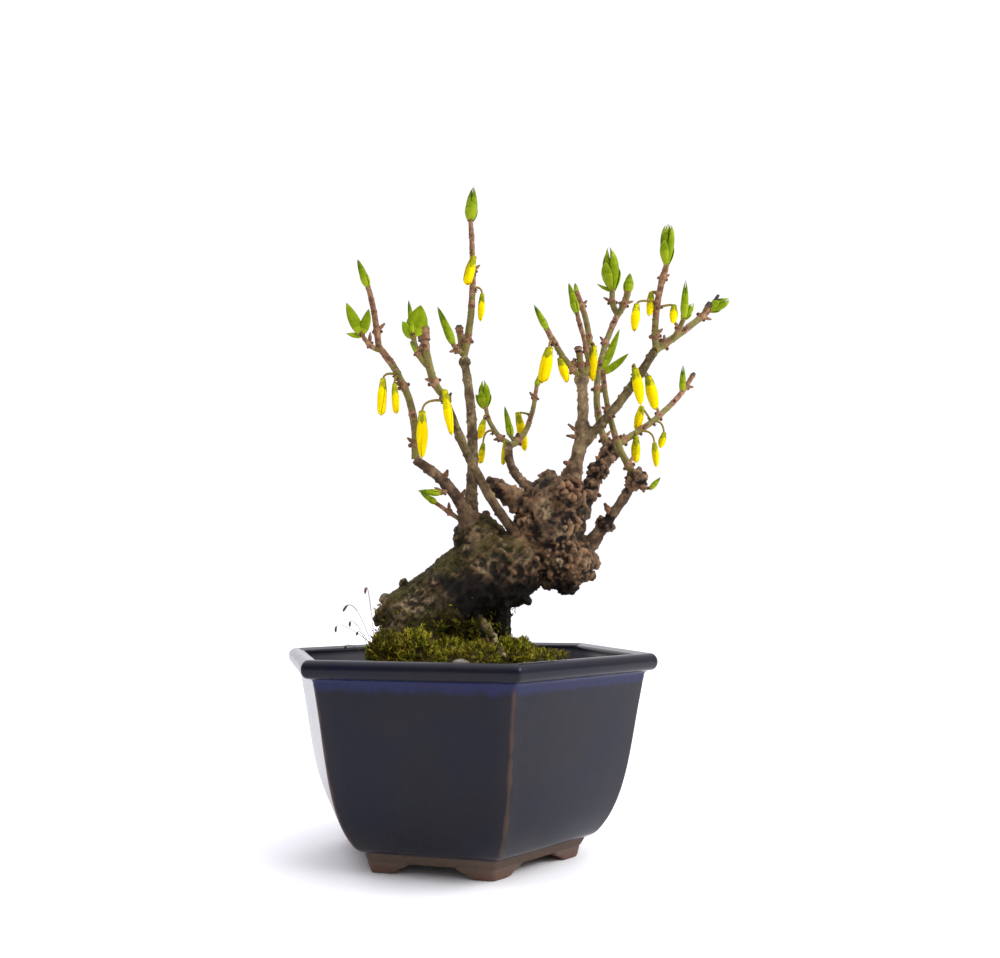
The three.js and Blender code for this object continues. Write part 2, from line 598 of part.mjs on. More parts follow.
// A twig is widest across the two buds of each node, and every pair is a quarter turn from the last.
function twigSolid(curve, r, grow) {
  const nodes = nodeCount(curve);
  const stretch = (ring) => {
    if (ring % 2 === 0) return [1, 1];
    const { wide, narrow } = NODE_SWELL;
    return ring % 4 === 1 ? [wide, narrow] : [narrow, wide];
  };
  return limb(curve, r, TWIG_SIDES, 2 * nodes, grow, stretch);
}

// A leaf or a closed shoot: a slim body of eight faces, widest below its middle.
function blade(base, way, length, width, thick, grow) {
  const geometry = new THREE.OctahedronGeometry(1, 0);
  const corners = geometry.attributes.position;
  for (let i = 0; i < corners.count; i += 1) {
    const height = corners.getY(i);
    const ends = height > 0 ? length + grow : -grow;
    const along = height === 0 ? SHOOT_WIDEST * length : ends;
    const across = corners.getX(i) * (width / 2 + grow);
    corners.setXYZ(i, across, along, corners.getZ(i) * (thick / 2 + grow));
  }
  const turn = new THREE.Quaternion().setFromUnitVectors(new THREE.Vector3(0, 1, 0), way);
  geometry.applyQuaternion(turn);
  geometry.translate(base.x, base.y, base.z);
  return solidOf(geometry);
}

function shootSolid(curve, { at, way, size }, grow) {
  const [length, width] = size;
  const direction = vector(way).normalize();
  const base = curve.getPointAt(at).addScaledVector(direction, -ROOT_SINK);
  return blade(base, direction, length, width, width * SHOOT_DEPTH, grow);
}

// A folded blossom: its stalk bends over, and the slim club of its petals hangs straight down.
function blossomSolid(curve, { at, way, reach, size }, grow) {
  const [length, width] = size;
  const out = vector(way).normalize();
  const start = curve.getPointAt(at);
  const neck = start.clone().addScaledVector(out, reach);
  const end = neck.clone().add(new THREE.Vector3(0, 0, -STALK.drop));
  const top = neck.clone().add(new THREE.Vector3(0, 0, STALK.arch));
  const bend = new THREE.QuadraticBezierCurve3(start, top, end);
  const stalk = limb(bend, [STALK.radius, STALK.radius], 4, 2, grow);
  const last = BLOSSOM_OUTLINE.length - 1;
  const outline = BLOSSOM_OUTLINE.map(([wide, along], i) => {
    const longer = i === last ? -grow : 0;
    return new THREE.Vector2(wide * width + (wide > 0 ? grow : 0), along * length + longer);
  });
  const club = new THREE.LatheGeometry(outline.reverse(), 6);
  club.rotateX(Math.PI / 2);
  club.translate(end.x, end.y, end.z);
  return fuse([stalk, solidOf(club)]);
}

// The side buds of a twig, one at each node: the seeded draws choose its side and its length, and
// each stands a quarter turn from the last.
function budRows(curve, random) {
  const nodes = nodeCount(curve);
  return Array.from({ length: nodes }, (_, i) => {
    const at = (i + 0.5) / nodes;
    const along = curve.getTangentAt(at);
    const level = along.clone().cross(new THREE.Vector3(0, 1, 0)).normalize();
    const across = i % 2 === 0 ? level : level.cross(along);
    const side = random() < 0.5 ? -1 : 1;
    const way = along.multiplyScalar(BUD.lean).addScaledVector(across, side).toArray();
    return { at, way, size: [THREE.MathUtils.lerp(...BUD.length, random()), BUD.width] };
  });
}

function touches(solid, others) {
  return solid.intersect(others).volume() > 1e-4;
}

// A mass's own space: the box round its twigs, a little larger.
function spaceOf(twigs) {
  const points = Object.values(twigs).flatMap((curve) => curve.getPoints(4));
  return new THREE.Box3().setFromPoints(points).expandByScalar(MASS_SPACE);
}

function fits(solid, space) {
  const { min, max } = solid.boundingBox();
  return space.containsBox(new THREE.Box3(vector(min), vector(max)));
}

// One mass, with its twigs cut clear of what stands already. A bud, shoot or blossom that would
// touch that, or leave the mass's space, is left off.
function massSolids(name, standing) {
  const twigs = {};
  for (const [twig, row] of Object.entries(MASSES[name])) {
    const host = twig === 'stem' ? curves[row.on] : twigs[row.on];
    const from = row.from ?? host.getPointAt(row.at).toArray();
    twigs[twig] = bowedCurve({ ...row, from });
  }
  const build = (grow) => Object.entries(twigs).map(([twig, curve]) => (
    twigSolid(curve, MASSES[name][twig].r, grow)
  ));
  const plain = [mainPiece(fuse(build(0)).subtract(standing))];
  const grown = build(GAP);
  const random = seeded(SEED + Object.keys(MASSES).indexOf(name));
  const buds = Object.values(twigs).flatMap((curve) => (
    budRows(curve, random).map((row) => (grow) => shootSolid(curve, row, grow))
  ));
  const shoots = (SHOOTS[name] ?? []).map((row) => (grow) => shootSolid(twigs[row.on], row, grow));
  const blossoms = (BLOSSOMS[name] ?? []).map((row) => (
    (grow) => blossomSolid(twigs[row.on], row, grow)
  ));
  const space = spaceOf(twigs);
  for (const extra of [...buds, ...shoots, ...blossoms]) {
    const solid = extra(0);
    if (fits(solid, space) && !touches(solid, standing)) {
      plain.push(solid);
      grown.push(extra(GAP));
    }
  }
  return { solid: mainPiece(fuse(plain)), grown: fuse(grown) };
}

// Everything is put together from the pot upwards, each piece cut clear of those before it.
const plant = new THREE.Group();
plant.add(meshOf('pot', potSolid(), GLAZE, 0.25));
plant.add(meshOf('soil', soilSolid(), EARTH, 0.95));

const trunk = trunkSolid();
plant.add(meshOf('trunk', trunk, BARK, 0.9));
let standing = trunkSolid(GAP);

let bedding = fuse([standing, soilSolid(GAP)]);
for (const [name, row] of Object.entries(MOSS)) {
  const cushion = mainPiece(mossSolid(row).subtract(bedding));
  plant.add(meshOf(name, cushion, MOSS_GREEN, 1));
  bedding = fuse([bedding, mossSolid(row, GAP)]);
}

for (const name of Object.keys(BOUGHS)) {
  curves[name] = boughCurve(name);
  const bough = mainPiece(boughSolid(name).subtract(standing));
  plant.add(meshOf(name, bough, BARK_DARK, 0.85));
  standing = fuse([standing, boughSolid(name, GAP)]);
}

for (const name of Object.keys(MASSES)) {
  const { solid, grown } = massSolids(name, standing);
  plant.add(meshOf(name, solid, TWIG, 0.8));
  standing = fuse([standing, grown]);
}

// The frame's origin is under the middle of the whole, on the ground.
const whole = new THREE.Box3().setFromObject(plant);
const middle = whole.getCenter(new THREE.Vector3());
plant.position.set(-middle.x, -middle.y, 0);
plant.updateMatrixWorld(true);

export default plant;
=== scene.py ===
# %% [markdown]
# A weeping forsythia grown as a small bonsai, in early spring, in its six-sided glazed pot.
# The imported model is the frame: it says where every piece is, and the finer pieces made here
# stand in the same places. The script is a lesson in cells, and each part of the plant is made
# in the order in which a grower would meet it: pot, soil, wood, moss, twigs, leaves, blossom.

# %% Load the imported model
import math

import bmesh
import bpy
import numpy as np
from mathutils import Matrix, Vector


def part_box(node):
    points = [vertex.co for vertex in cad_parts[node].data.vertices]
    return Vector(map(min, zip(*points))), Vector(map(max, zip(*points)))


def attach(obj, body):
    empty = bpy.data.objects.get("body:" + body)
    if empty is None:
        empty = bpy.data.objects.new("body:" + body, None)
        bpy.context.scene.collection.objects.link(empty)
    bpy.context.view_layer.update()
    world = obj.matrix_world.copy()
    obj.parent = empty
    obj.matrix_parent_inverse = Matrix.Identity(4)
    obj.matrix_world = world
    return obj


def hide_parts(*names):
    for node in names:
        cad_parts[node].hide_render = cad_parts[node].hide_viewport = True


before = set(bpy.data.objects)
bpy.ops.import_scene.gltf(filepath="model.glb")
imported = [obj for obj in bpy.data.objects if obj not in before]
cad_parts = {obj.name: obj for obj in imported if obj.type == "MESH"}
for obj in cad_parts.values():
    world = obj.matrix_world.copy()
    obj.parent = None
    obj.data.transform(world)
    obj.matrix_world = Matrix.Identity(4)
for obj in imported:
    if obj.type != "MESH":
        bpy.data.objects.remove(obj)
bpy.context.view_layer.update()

scene = bpy.context.scene
print("packed nodes:", len(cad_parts))

# %% [markdown]
# A maker measures a pot and a small tree in millimetres from the pot's axis, and Blender counts in
# metres. So all shapes below are worked out as plain arrays of places in millimetres round that
# axis, and they become metres in one function only, where a mesh is made. The pot's box in the
# frame says where its axis stands.

# %% Millimetres round the pot's axis become metres in the frame
MM = 0.001
pot_low, pot_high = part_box("pot")
AXIS = np.array([(pot_low.x + pot_high.x) / 2, (pot_low.y + pot_high.y) / 2, 0.0])


def in_metres(places):
    return np.asarray(places, float) * MM + AXIS


print("the pot's axis stands at", AXIS.round(5))

# %% [markdown]
# The camera stands low and close, a little above the soil, and looks slightly up, so the pot's
# near corner is drawn longer than its far ones. Its place was worked out from the pot's corners.
# A camera's axes can be given as a matrix: the columns are its right, its up and its backward
# direction.

# %% Set the camera
IMAGE_SIZE = (1000, 958)
FOCAL_PIXELS = 948.824
SENSOR = 36.0
NEAREST_SEEN = 0.01
CAMERA_PLACE = (0.0, -335.766, 86.791)
PITCH, YAW, ROLL = 0.118, -0.0375, -0.002


def camera_axes(pitch, yaw, roll):
    forward = Vector((-math.sin(yaw) * math.cos(pitch), math.cos(yaw) * math.cos(pitch), math.sin(pitch)))
    level = Vector((math.cos(yaw), math.sin(yaw), 0))
    upright = level.cross(forward)
    right = level * math.cos(roll) + upright * math.sin(roll)
    up = upright * math.cos(roll) - level * math.sin(roll)
    return Matrix((right, up, -forward)).transposed()


camera_data = bpy.data.cameras.new("camera")
camera_data.sensor_width = SENSOR
camera_data.lens = SENSOR * FOCAL_PIXELS / IMAGE_SIZE[0]
camera_data.clip_start = NEAREST_SEEN
camera = bpy.data.objects.new("camera", camera_data)
camera.matrix_world = camera_axes(PITCH, YAW, ROLL).to_4x4()
camera.location = in_metres(CAMERA_PLACE)
scene.collection.objects.link(camera)
scene.camera = camera
print("lens in mm:", round(camera_data.lens, 2))

# %% [markdown]
# Shader maths is easier to read as sums than as boxes and wires. A Wire holds the socket that a
# value comes out of, and a sum on it adds the Math node, or the Vector Math node, for that sum.
# A Look is one material: its add method makes any other node from its type, its settings and
# what goes into it.

# %% A small language for materials
class Wire:
    """The socket that a number, a colour or a vector comes out of."""

    def __init__(self, look, socket):
        self.look = look
        self.socket = socket

    def sum(self, operation, first, second):
        wires = [value for value in (first, second) if isinstance(value, Wire)]
        vector = any(wire.socket.type == "VECTOR" for wire in wires)
        kind = "ShaderNodeVectorMath" if vector else "ShaderNodeMath"
        return self.look.add(kind, {"operation": operation}, {0: first, 1: second})

    def __add__(self, other):
        return self.sum("ADD", self, other)

    def __radd__(self, other):
        return self.sum("ADD", other, self)

    def __sub__(self, other):
        return self.sum("SUBTRACT", self, other)

    def __rsub__(self, other):
        return self.sum("SUBTRACT", other, self)

    def __mul__(self, other):
        return self.sum("MULTIPLY", self, other)

    def __rmul__(self, other):
        return self.sum("MULTIPLY", other, self)


class Look:
    """A material, or the world, while its nodes are being laid out."""

    def __init__(self, name):
        self.material = bpy.data.materials.new(name)
        self.material.use_nodes = True
        self.tree = self.material.node_tree
        self.tree.nodes.clear()

    def add(self, kind, settings=None, values=None, out=0):
        node = self.tree.nodes.new(kind)
        for setting, value in (settings or {}).items():
            setattr(node, setting, value)
        for name, value in (values or {}).items():
            socket = node.inputs[name]
            if isinstance(value, Wire):
                self.tree.links.new(value.socket, socket)
            elif socket.type == "VECTOR" and not hasattr(value, "__len__"):
                socket.default_value = (value, value, value)
            elif socket.type == "RGBA":
                socket.default_value = (*value, 1)
            else:
                socket.default_value = value
        return Wire(self, node.outputs[out])

    def places(self):
        """Where a point of the surface is, in millimetres from the pot's axis."""
        coordinates = self.add("ShaderNodeTexCoord", out="Object")
        return (coordinates - tuple(AXIS)) * (1 / MM)

    def up(self, places):
        return self.add("ShaderNodeSeparateXYZ", None, {0: places}, out="Z")

    def noise(self, places, size, detail=3.0, rough=0.55):
        """Cloudy noise, from 0 to 1, whose clouds are about size millimetres across."""
        values = {"Vector": places, "Scale": 1 / size, "Detail": detail, "Roughness": rough}
        return self.add("ShaderNodeTexNoise", None, values, out="Fac")

    def cells(self, places, size):
        """How far the nearest of many scattered centres is, as a share of size."""
        values = {"Vector": places, "Scale": 1 / size}
        return self.add("ShaderNodeTexVoronoi", None, values, out="Distance")

    def rise(self, value, low, high):
        """0 below low, 1 above high and a soft slope between, or the other way round."""
        values = {"Value": value, "From Min": low, "From Max": high, "To Min": 0.0, "To Max": 1.0}
        return self.add("ShaderNodeMapRange", {"interpolation_type": "SMOOTHSTEP"}, values)

    def kept(self, name):
        """A number that the mesh keeps for each of its points."""
        return self.add("ShaderNodeAttribute", {"attribute_name": name}, out="Fac")

    def mix(self, factor, first, second):
        """A colour from the first, where factor is 0, to the second, where it is 1."""
        values = {0: factor, 6: first, 7: second}
        return self.add("ShaderNodeMix", {"data_type": "RGBA"}, values, out=2)

    def bump(self, height, distance, under=None):
        """Relief: distance says how many millimetres a height of 1 stands for."""
        values = {"Height": height, "Distance": distance * MM}
        if under is not None:
            values["Normal"] = under
        return self.add("ShaderNodeBump", None, values)

    def finish(self, **sockets):
        """Ends in one Principled shader. A socket's name has _ for each space."""
        values = {name.replace("_", " "): value for name, value in sockets.items()}
        shader = self.add("ShaderNodeBsdfPrincipled", None, values)
        output = self.tree.nodes.new("ShaderNodeOutputMaterial")
        self.tree.links.new(shader.socket, output.inputs["Surface"])
        return self.material


def shade(tone, share):
    """The same tone made darker, or lighter where share is above 1."""
    return tuple(share * part for part in tone)


# %% [markdown]
# The plant and its pot were photographed on bright white, so the floor and the surroundings are
# white too. A dark glaze shows its surroundings more than its own colour: the surroundings are
# dimmer in front, where the room is, and on the left, and brighter behind and overhead, and that
# is what draws the light edges on the pot. The camera itself sees plain white beyond the floor.

# %% Floor, surroundings and lamps
FLOOR_TONE = (0.93, 0.93, 0.95)
FLOOR_RADIUS = 4.0
FLOOR_SINK = 0.00005  # keeps the floor just under the feet
BACK_LIGHT, SIDE_LIGHT, FRONT_LIGHT, TOP_LIGHT = 1.5, 0.97, 0.4, 2.6
LEFT_SHADE = 0.45  # how much dimmer it is on the left
SURROUNDINGS_TONE = (0.965, 0.955, 1.0)  # a cool white
CAMERA_WHITE = 1.08  # bright enough to show the camera plain white in spite of that


def disc(name, radius, sides):
    mesh = bpy.data.meshes.new(name)
    shape = bmesh.new()
    bmesh.ops.create_circle(shape, cap_ends=True, radius=radius, segments=sides)
    shape.to_mesh(mesh)
    shape.free()
    return bpy.data.objects.new(name, mesh)


floor_look = Look("pale floor")
floor_grain = floor_look.noise(floor_look.places(), 60.0)
floor_tone = floor_look.mix(floor_grain, FLOOR_TONE, shade(FLOOR_TONE, 0.985))
floor = disc("floor", FLOOR_RADIUS, 96)
floor.data.materials.append(floor_look.finish(Base_Color=floor_tone, Roughness=0.9))
floor.location.z = -FLOOR_SINK
scene.collection.objects.link(floor)


class Surroundings(Look):
    """The world's own nodes, laid out in the same way as a material's."""

    def __init__(self, name):
        self.world = bpy.data.worlds.new(name)
        self.world.use_nodes = True
        self.tree = self.world.node_tree
        self.tree.nodes.clear()

    def finish(self, colour, strength):
        light = self.add("ShaderNodeBackground", None, {"Color": colour, "Strength": strength})
        output = self.tree.nodes.new("ShaderNodeOutputWorld")
        self.tree.links.new(light.socket, output.inputs["Surface"])
        return self.world


sky = Surroundings("white surroundings")
direction = sky.add("ShaderNodeTexCoord", out="Generated")
aside = sky.add("ShaderNodeSeparateXYZ", None, {0: direction}, out="X")
depth = sky.add("ShaderNodeSeparateXYZ", None, {0: direction}, out="Y")
height = sky.add("ShaderNodeSeparateXYZ", None, {0: direction}, out="Z")
behind = sky.rise(depth, -0.1, 0.9)
ahead = sky.rise(depth, -0.2, -0.95)
around = SIDE_LIGHT + behind * (BACK_LIGHT - SIDE_LIGHT) + ahead * (FRONT_LIGHT - SIDE_LIGHT)
around = around * (1.0 - sky.rise(aside, -0.15, -0.9) * LEFT_SHADE)
overhead = sky.rise(height, 0.5, 1.0)
lighting = around + overhead * (TOP_LIGHT - SIDE_LIGHT)
seen = sky.add("ShaderNodeLightPath", out="Is Camera Ray")
strength = lighting + seen * (CAMERA_WHITE - lighting)
scene.world = sky.finish(SURROUNDINGS_TONE, strength)


def soft_lamp(name, place, aim, size, power):
    data = bpy.data.lights.new(name, "AREA")
    data.shape = "DISK"
    data.size = size
    data.energy = power
    lamp = bpy.data.objects.new(name, data)
    lamp.location = place
    lamp.rotation_euler = (Vector(aim) - Vector(place)).to_track_quat("-Z", "Y").to_euler()
    scene.collection.objects.link(lamp)


soft_lamp("key lamp", (0.7, -0.25, 0.6), (0, 0, 0.1), 0.5, 5.0)
soft_lamp("fill lamp", (0.5, -0.6, 0.6), (0, 0, 0.12), 0.4, 1.8)
scene.view_settings.view_transform = "Standard"
scene.view_settings.look = "None"

# %% [markdown]
# A grower's eye reads a plant by its surfaces, so most pieces here are dense meshes made from
# arrays of places. Faces come in grids: rows of points, one after another, joined by squares.
# A Heap gathers many such shapes, each with the number of its material, and becomes one mesh.

# %% Grids of faces, tubes and heaps
def grid_faces(rows, columns, closed=False):
    """The squares between rows of points. A closed grid joins each row's last point to its first."""
    row, column = np.mgrid[0:rows - 1, 0:columns if closed else columns - 1]
    row, column = row.ravel(), column.ravel()
    following = (column + 1) % columns
    corners = (row * columns + column, row * columns + following)
    return np.stack([*corners, corners[1] + columns, corners[0] + columns], axis=1)


class Heap:
    """Shapes gathered for one mesh. Each keeps its material's number, and numbers for its points."""

    def __init__(self):
        self.places, self.faces, self.kinds, self.kept = [], [], [], {}
        self.count = 0

    def add(self, places, faces, kind=0, **kept):
        """faces is one array of squares or of triangles, or a list of both. kind is one number, or
        one for each face."""
        groups = faces if isinstance(faces, list) else [faces]
        kinds = np.broadcast_to(kind, sum(len(group) for group in groups))
        done = 0
        for group in groups:
            self.faces.append(np.asarray(group) + self.count)
            self.kinds.append(kinds[done:done + len(group)])
            done += len(group)
        for name, values in kept.items():
            values = np.broadcast_to(np.asarray(values, float), len(places))
            self.kept.setdefault(name, []).append((self.count, values))
        self.places.append(np.asarray(places, float))
        self.count += len(places)

    def mesh(self, name, metres=True):
        mesh = bpy.data.meshes.new(name)
        places = np.concatenate(self.places)
        corners = np.concatenate([group.ravel() for group in self.faces])
        sizes = np.concatenate([np.full(len(group), group.shape[1]) for group in self.faces])
        mesh.vertices.add(len(places))
        mesh.vertices.foreach_set("co", (in_metres(places) if metres else places).ravel())
        mesh.loops.add(len(corners))
        mesh.loops.foreach_set("vertex_index", corners.astype(np.int32))
        mesh.polygons.add(len(sizes))
        starts = np.concatenate([[0], np.cumsum(sizes)[:-1]])
        mesh.polygons.foreach_set("loop_start", starts.astype(np.int32))
        mesh.polygons.foreach_set("material_index", np.concatenate(self.kinds).astype(np.int32))
        mesh.polygons.foreach_set("use_smooth", np.ones(len(sizes), bool))
        for kept_name, parts in self.kept.items():
            values = np.zeros(len(places), np.float32)
            for start, part in parts:
                values[start:start + len(part)] = part
            mesh.attributes.new(kept_name, "FLOAT", "POINT").data.foreach_set("value", values)
        mesh.update(calc_edges=True)
        mesh.validate()
        return mesh

    def piece(self, name, looks, slot, replaced=()):
        """The finished piece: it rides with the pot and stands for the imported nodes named."""
        mesh = self.mesh(name)
        for look in looks:
            mesh.materials.append(look)
        made = bpy.data.objects.new(name, mesh)
        scene.collection.objects.link(made)
        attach(made, "root")
        if replaced:
            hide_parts(*replaced)
        triangles = sum(len(group) * (group.shape[1] - 2) for group in self.faces)
        print(f"{name}: {triangles} triangles")
        return made


def unit(vectors):
    vectors = np.asarray(vectors, float)
    return vectors / np.maximum(np.linalg.norm(vectors, axis=-1, keepdims=True), 1e-12)


def frames_along(line):
    """For each place on a line two directions across it, which never twist."""
    ways = unit(np.gradient(line, axis=0))
    helper = np.array([0.0, 1.0, 0.0]) if abs(ways[0][1]) < 0.9 else np.array([1.0, 0.0, 0.0])
    across = [unit(np.cross(helper, ways[0]))]
    for way in ways[1:]:
        across.append(unit(across[-1] - way * np.dot(across[-1], way)))
    across = np.array(across)
    return across, np.cross(ways, across)


def spokes(sides):
    """The turns of a ring's points."""
    return np.arange(sides) * 2 * math.pi / sides


def outwards_round(line, sides):
    """The direction from a line to each point of the rings round it."""
    across, aside = frames_along(line)
    turns = spokes(sides)[:, None]
    return across[:, None] * np.cos(turns) + aside[:, None] * np.sin(turns)


def tube(line, radii, sides):
    """A closed tube along a line. radii is one number for each ring, or one for each point."""
    radii = np.asarray(radii, float)
    radii = np.broadcast_to(radii[:, None] if radii.ndim == 1 else radii, (len(line), sides))
    places = line[:, None] + outwards_round(line, sides) * radii[..., None]
    return capped(places.reshape(-1, 3), len(line), sides)


def capped(places, rows, columns):
    """Closes a stack of rings with a fan of triangles at each end."""
    first = places[:columns].mean(0)
    last = places[-columns:].mean(0)
    low, high = rows * columns, rows * columns + 1
    ring = np.arange(columns)
    following = (ring + 1) % columns
    top = (rows - 1) * columns
    fans = [np.stack([following, ring, np.full(columns, low)], axis=1)]
    fans.append(np.stack([ring + top, following + top, np.full(columns, high)], axis=1))
    squares = grid_faces(rows, columns, closed=True)
    return np.vstack([places, first, last]), [squares, np.concatenate(fans)]


# %% [markdown]
# Living surfaces are never even. Noise gives each place in space a number, the same on every
# run: the corners of a grid of cubes each get a random slope, and the slopes are blended. The
# second kind scatters one centre in each cube and tells how far the nearest centre is, which
# makes warts and grains. Seeded draws, one after another, deal out buds as the model's rule does.

# %% Noise and seeded draws
STEPS = np.array(list(np.ndindex(3, 3, 3))) - 1  # from a cube to itself and to all its neighbours
SLOPES = unit(STEPS[np.any(STEPS, axis=1)])
CUBE_CORNERS = np.array(list(np.ndindex(2, 2, 2)))


def mixed(cells, seed):
    """A large whole number for each whole-number cell, which looks like chance."""
    x, y, z = (cells[..., axis].astype(np.int64) for axis in range(3))
    value = (x * 73856093) ^ (y * 19349663) ^ (z * 83492791) ^ (seed * 2654435761)
    value = ((value ^ (value >> 13)) * 1274126177) & 0xFFFFFFFF
    return value ^ (value >> 16)


def noise(places, size, seed):
    """Smooth noise from about -1 to 1, with swells about size across."""
    scaled = np.asarray(places, float) / size
    cell = np.floor(scaled)
    part = scaled - cell
    ease = part ** 3 * (part * (part * 6 - 15) + 10)
    total = np.zeros(len(scaled))
    for corner in CUBE_CORNERS:
        slope = SLOPES[mixed(cell + corner, seed) % len(SLOPES)]
        weight = np.prod(np.where(corner == 1, ease, 1 - ease), axis=1)
        total += weight * np.sum(slope * (part - corner), axis=1)
    return total * 1.7


def rough_noise(places, size, seed, octaves=3):
    """Noise with finer and finer swells on its swells."""
    total = sum(0.5 ** i * noise(places, size * 0.5 ** i, seed + i) for i in range(octaves))
    return total / (2 - 0.5 ** (octaves - 1))


def to_centres(places, size, seed):
    """How far each place is from the nearest scattered centre, as a share of size."""
    scaled = np.asarray(places, float) / size
    cell = np.floor(scaled)
    nearest = np.full(len(scaled), 9.0)
    for step in STEPS:
        there = cell + step
        chance = np.stack([mixed(there, seed + axis) % 1024 / 1024 for axis in range(3)], axis=1)
        nearest = np.minimum(nearest, np.linalg.norm(there + chance - scaled, axis=1))
    return nearest


def soft_step(value, low, high):
    """0 below low, 1 above high and a soft slope between, or the other way round."""
    share = np.clip((np.asarray(value, float) - low) / (high - low), 0, 1)
    return share * share * (3 - 2 * share)


def draws(seed):
    """The model's own seeded numbers, from 0 up to 1, in the same order."""
    state = seed
    while True:
        state = (state + 0x6D2B79F5) & 0xFFFFFFFF
        value = ((state ^ (state >> 15)) * (state | 1)) & 0xFFFFFFFF
        value ^= (value + (((value ^ (value >> 7)) * (value | 61)) & 0xFFFFFFFF)) & 0xFFFFFFFF
        yield ((value ^ (value >> 14)) & 0xFFFFFFFF) / 4294967296


def between(pair, share):
    """The number at a share of the way from the first of a pair to the second."""
    return pair[0] + (pair[1] - pair[0]) * share


def distance(places, centre):
    return np.linalg.norm(np.asarray(places) - np.asarray(centre), axis=-1)


def bent(start, aim, end, steps):
    """Places on the curve from start to end that is drawn towards aim."""
    t = np.linspace(0, 1, steps)[:, None]
    return (1 - t) ** 2 * start + 2 * t * (1 - t) * aim + t ** 2 * end


# %% [markdown]
# The pot was pressed in a six-sided mould, so its corners and its lip are softly rounded. It is
# made as one closed stack of rings that runs up the outside, over the lip and down the inside.
# Each ring is a hexagon with rounded corners, and only the drain hole's rings are round. Each
# point keeps its distance from the corner with it, because the glaze breaks thin and brown there,
# while it pools thick and blue under the lip.

# %% Sizes of the pot
CORNER = math.radians(-16.65)  # direction of one corner
CORNER_ROUND = 1.5
WALL = 5.0
FLOOR_TOP = 11.0
BODY_FOOT = 3.6
# Rows of a radius and a height: the wall's outside, and the groove between it and the lip.
WALL_CURVE = [(41.8, 6.2), (46.6, 9), (52, 17), (56.2, 29), (60.2, 48.5), (62.1, 57.6)]
GROOVE = [(62.4, 58.6), (62.5, 59.5), (62.9, 60.2), (63.6, 60.7)]
RIM_TOP, RIM_RADIUS, RIM_ROLL, RIM_WIDTH, RIM_SLOPE = 66.5, 67.0, 2.7, 6.4, 0.6
LIP_ROUND = 1.2
FOOT_OUTER, FOOT_INNER, FOOT_BOTTOM = 40.6, 31.0, 39.2
DRAIN = 6.0
LIP_RINGS = 8  # rings of the section from the lip's top over its edge and down into the pot


def smooth_curve(points, steps):
    """A curve through points, with steps between each two (Catmull-Rom)."""
    points = np.asarray(points, float)
    before = np.vstack([2 * points[0] - points[1], points, 2 * points[-1] - points[-2]])
    curve = []
    for i in range(1, len(before) - 2):
        a, b, c, d = before[i - 1:i + 3]
        for t in np.arange(steps) / steps:
            bend = 2 * b + (c - a) * t + (2 * a - 5 * b + 4 * c - d) * t ** 2
            curve.append(0.5 * (bend + (3 * b - a - 3 * c + d) * t ** 3))
    return np.array([*curve, points[-1]])


def arc(centre, radius, start, end, steps):
    turns = np.radians(np.linspace(start, end, steps))
    return np.stack([centre[0] + radius * np.cos(turns), centre[1] + radius * np.sin(turns)], axis=1)


def pointing(turn):
    return np.array([math.cos(turn), math.sin(turn)])


def hexagon_ring(radius, corner_round=CORNER_ROUND, arc_steps=7, side_steps=14):
    """A hexagon's outline with rounded corners, and how far each point is from the corner."""
    points, from_corner = [], []
    centre = radius - corner_round / math.sin(math.radians(60))
    half_turns = np.radians(np.linspace(-30, 30, arc_steps))
    share = 0.5 - 0.5 * np.cos(np.linspace(0, math.pi, side_steps + 2)[1:-1])
    for index in range(6):
        turn = CORNER + index * math.pi / 3
        after = turn + math.pi / 3
        spread = turn + half_turns
        bend = centre * pointing(turn) + corner_round * np.stack([np.cos(spread), np.sin(spread)], axis=1)
        there = centre * pointing(after) + corner_round * pointing(after - math.pi / 6)
        points += [bend, bend[-1] + share[:, None] * (there - bend[-1])]
        length = np.linalg.norm(there - bend[-1])
        from_corner += [np.abs(half_turns) * corner_round]
        from_corner += [corner_round * 0.5 + np.minimum(share, 1 - share) * length]
    return np.concatenate(points), np.concatenate(from_corner)


def at_level(outline, level):
    return np.column_stack([outline, np.broadcast_to(level, len(outline))])


def looped(rings):
    """The places and faces of a stack of rings whose last ring is joined to its first."""
    rows, columns = len(rings), len(rings[0])
    first = np.arange(columns)
    last = (rows - 1) * columns + first
    closing = np.stack([last, np.roll(last, -1), np.roll(first, -1), first], axis=1)
    return np.concatenate(rings), [grid_faces(rows, columns, closed=True), closing]


def pot_profile():
    """The pot's section, from the drain hole out, up, over the lip and back to the drain hole."""
    wall = smooth_curve(WALL_CURVE, 9)
    inner = wall[wall[:, 1] > FLOOR_TOP + 2][::-1] - (WALL, 0)
    rim = (RIM_RADIUS - RIM_ROLL, RIM_TOP - RIM_ROLL)
    lip_in = RIM_RADIUS - RIM_WIDTH
    return np.vstack([
        [(DRAIN, FLOOR_TOP - 0.4), (DRAIN, BODY_FOOT + 0.4), (DRAIN + 0.5, BODY_FOOT)],
        [(FOOT_INNER, BODY_FOOT), (FOOT_OUTER - 0.5, BODY_FOOT), (FOOT_OUTER, BODY_FOOT + 0.5)],
        wall,
        GROOVE,
        arc((rim[0], rim[1] - 0.3), RIM_ROLL, -72, 0, 8),
        arc(rim, RIM_ROLL, 0, 90, 9),
        [(lip_in + 2.4, RIM_TOP - 0.16)],
        arc((lip_in + LIP_ROUND, RIM_TOP - RIM_SLOPE - LIP_ROUND), LIP_ROUND, 80, 180, 6),
        [(lip_in - 0.05, RIM_TOP - 3.4)],
        inner,
        [(inner[-1][0] - 4, FLOOR_TOP), (DRAIN + 0.5, FLOOR_TOP)],
    ])


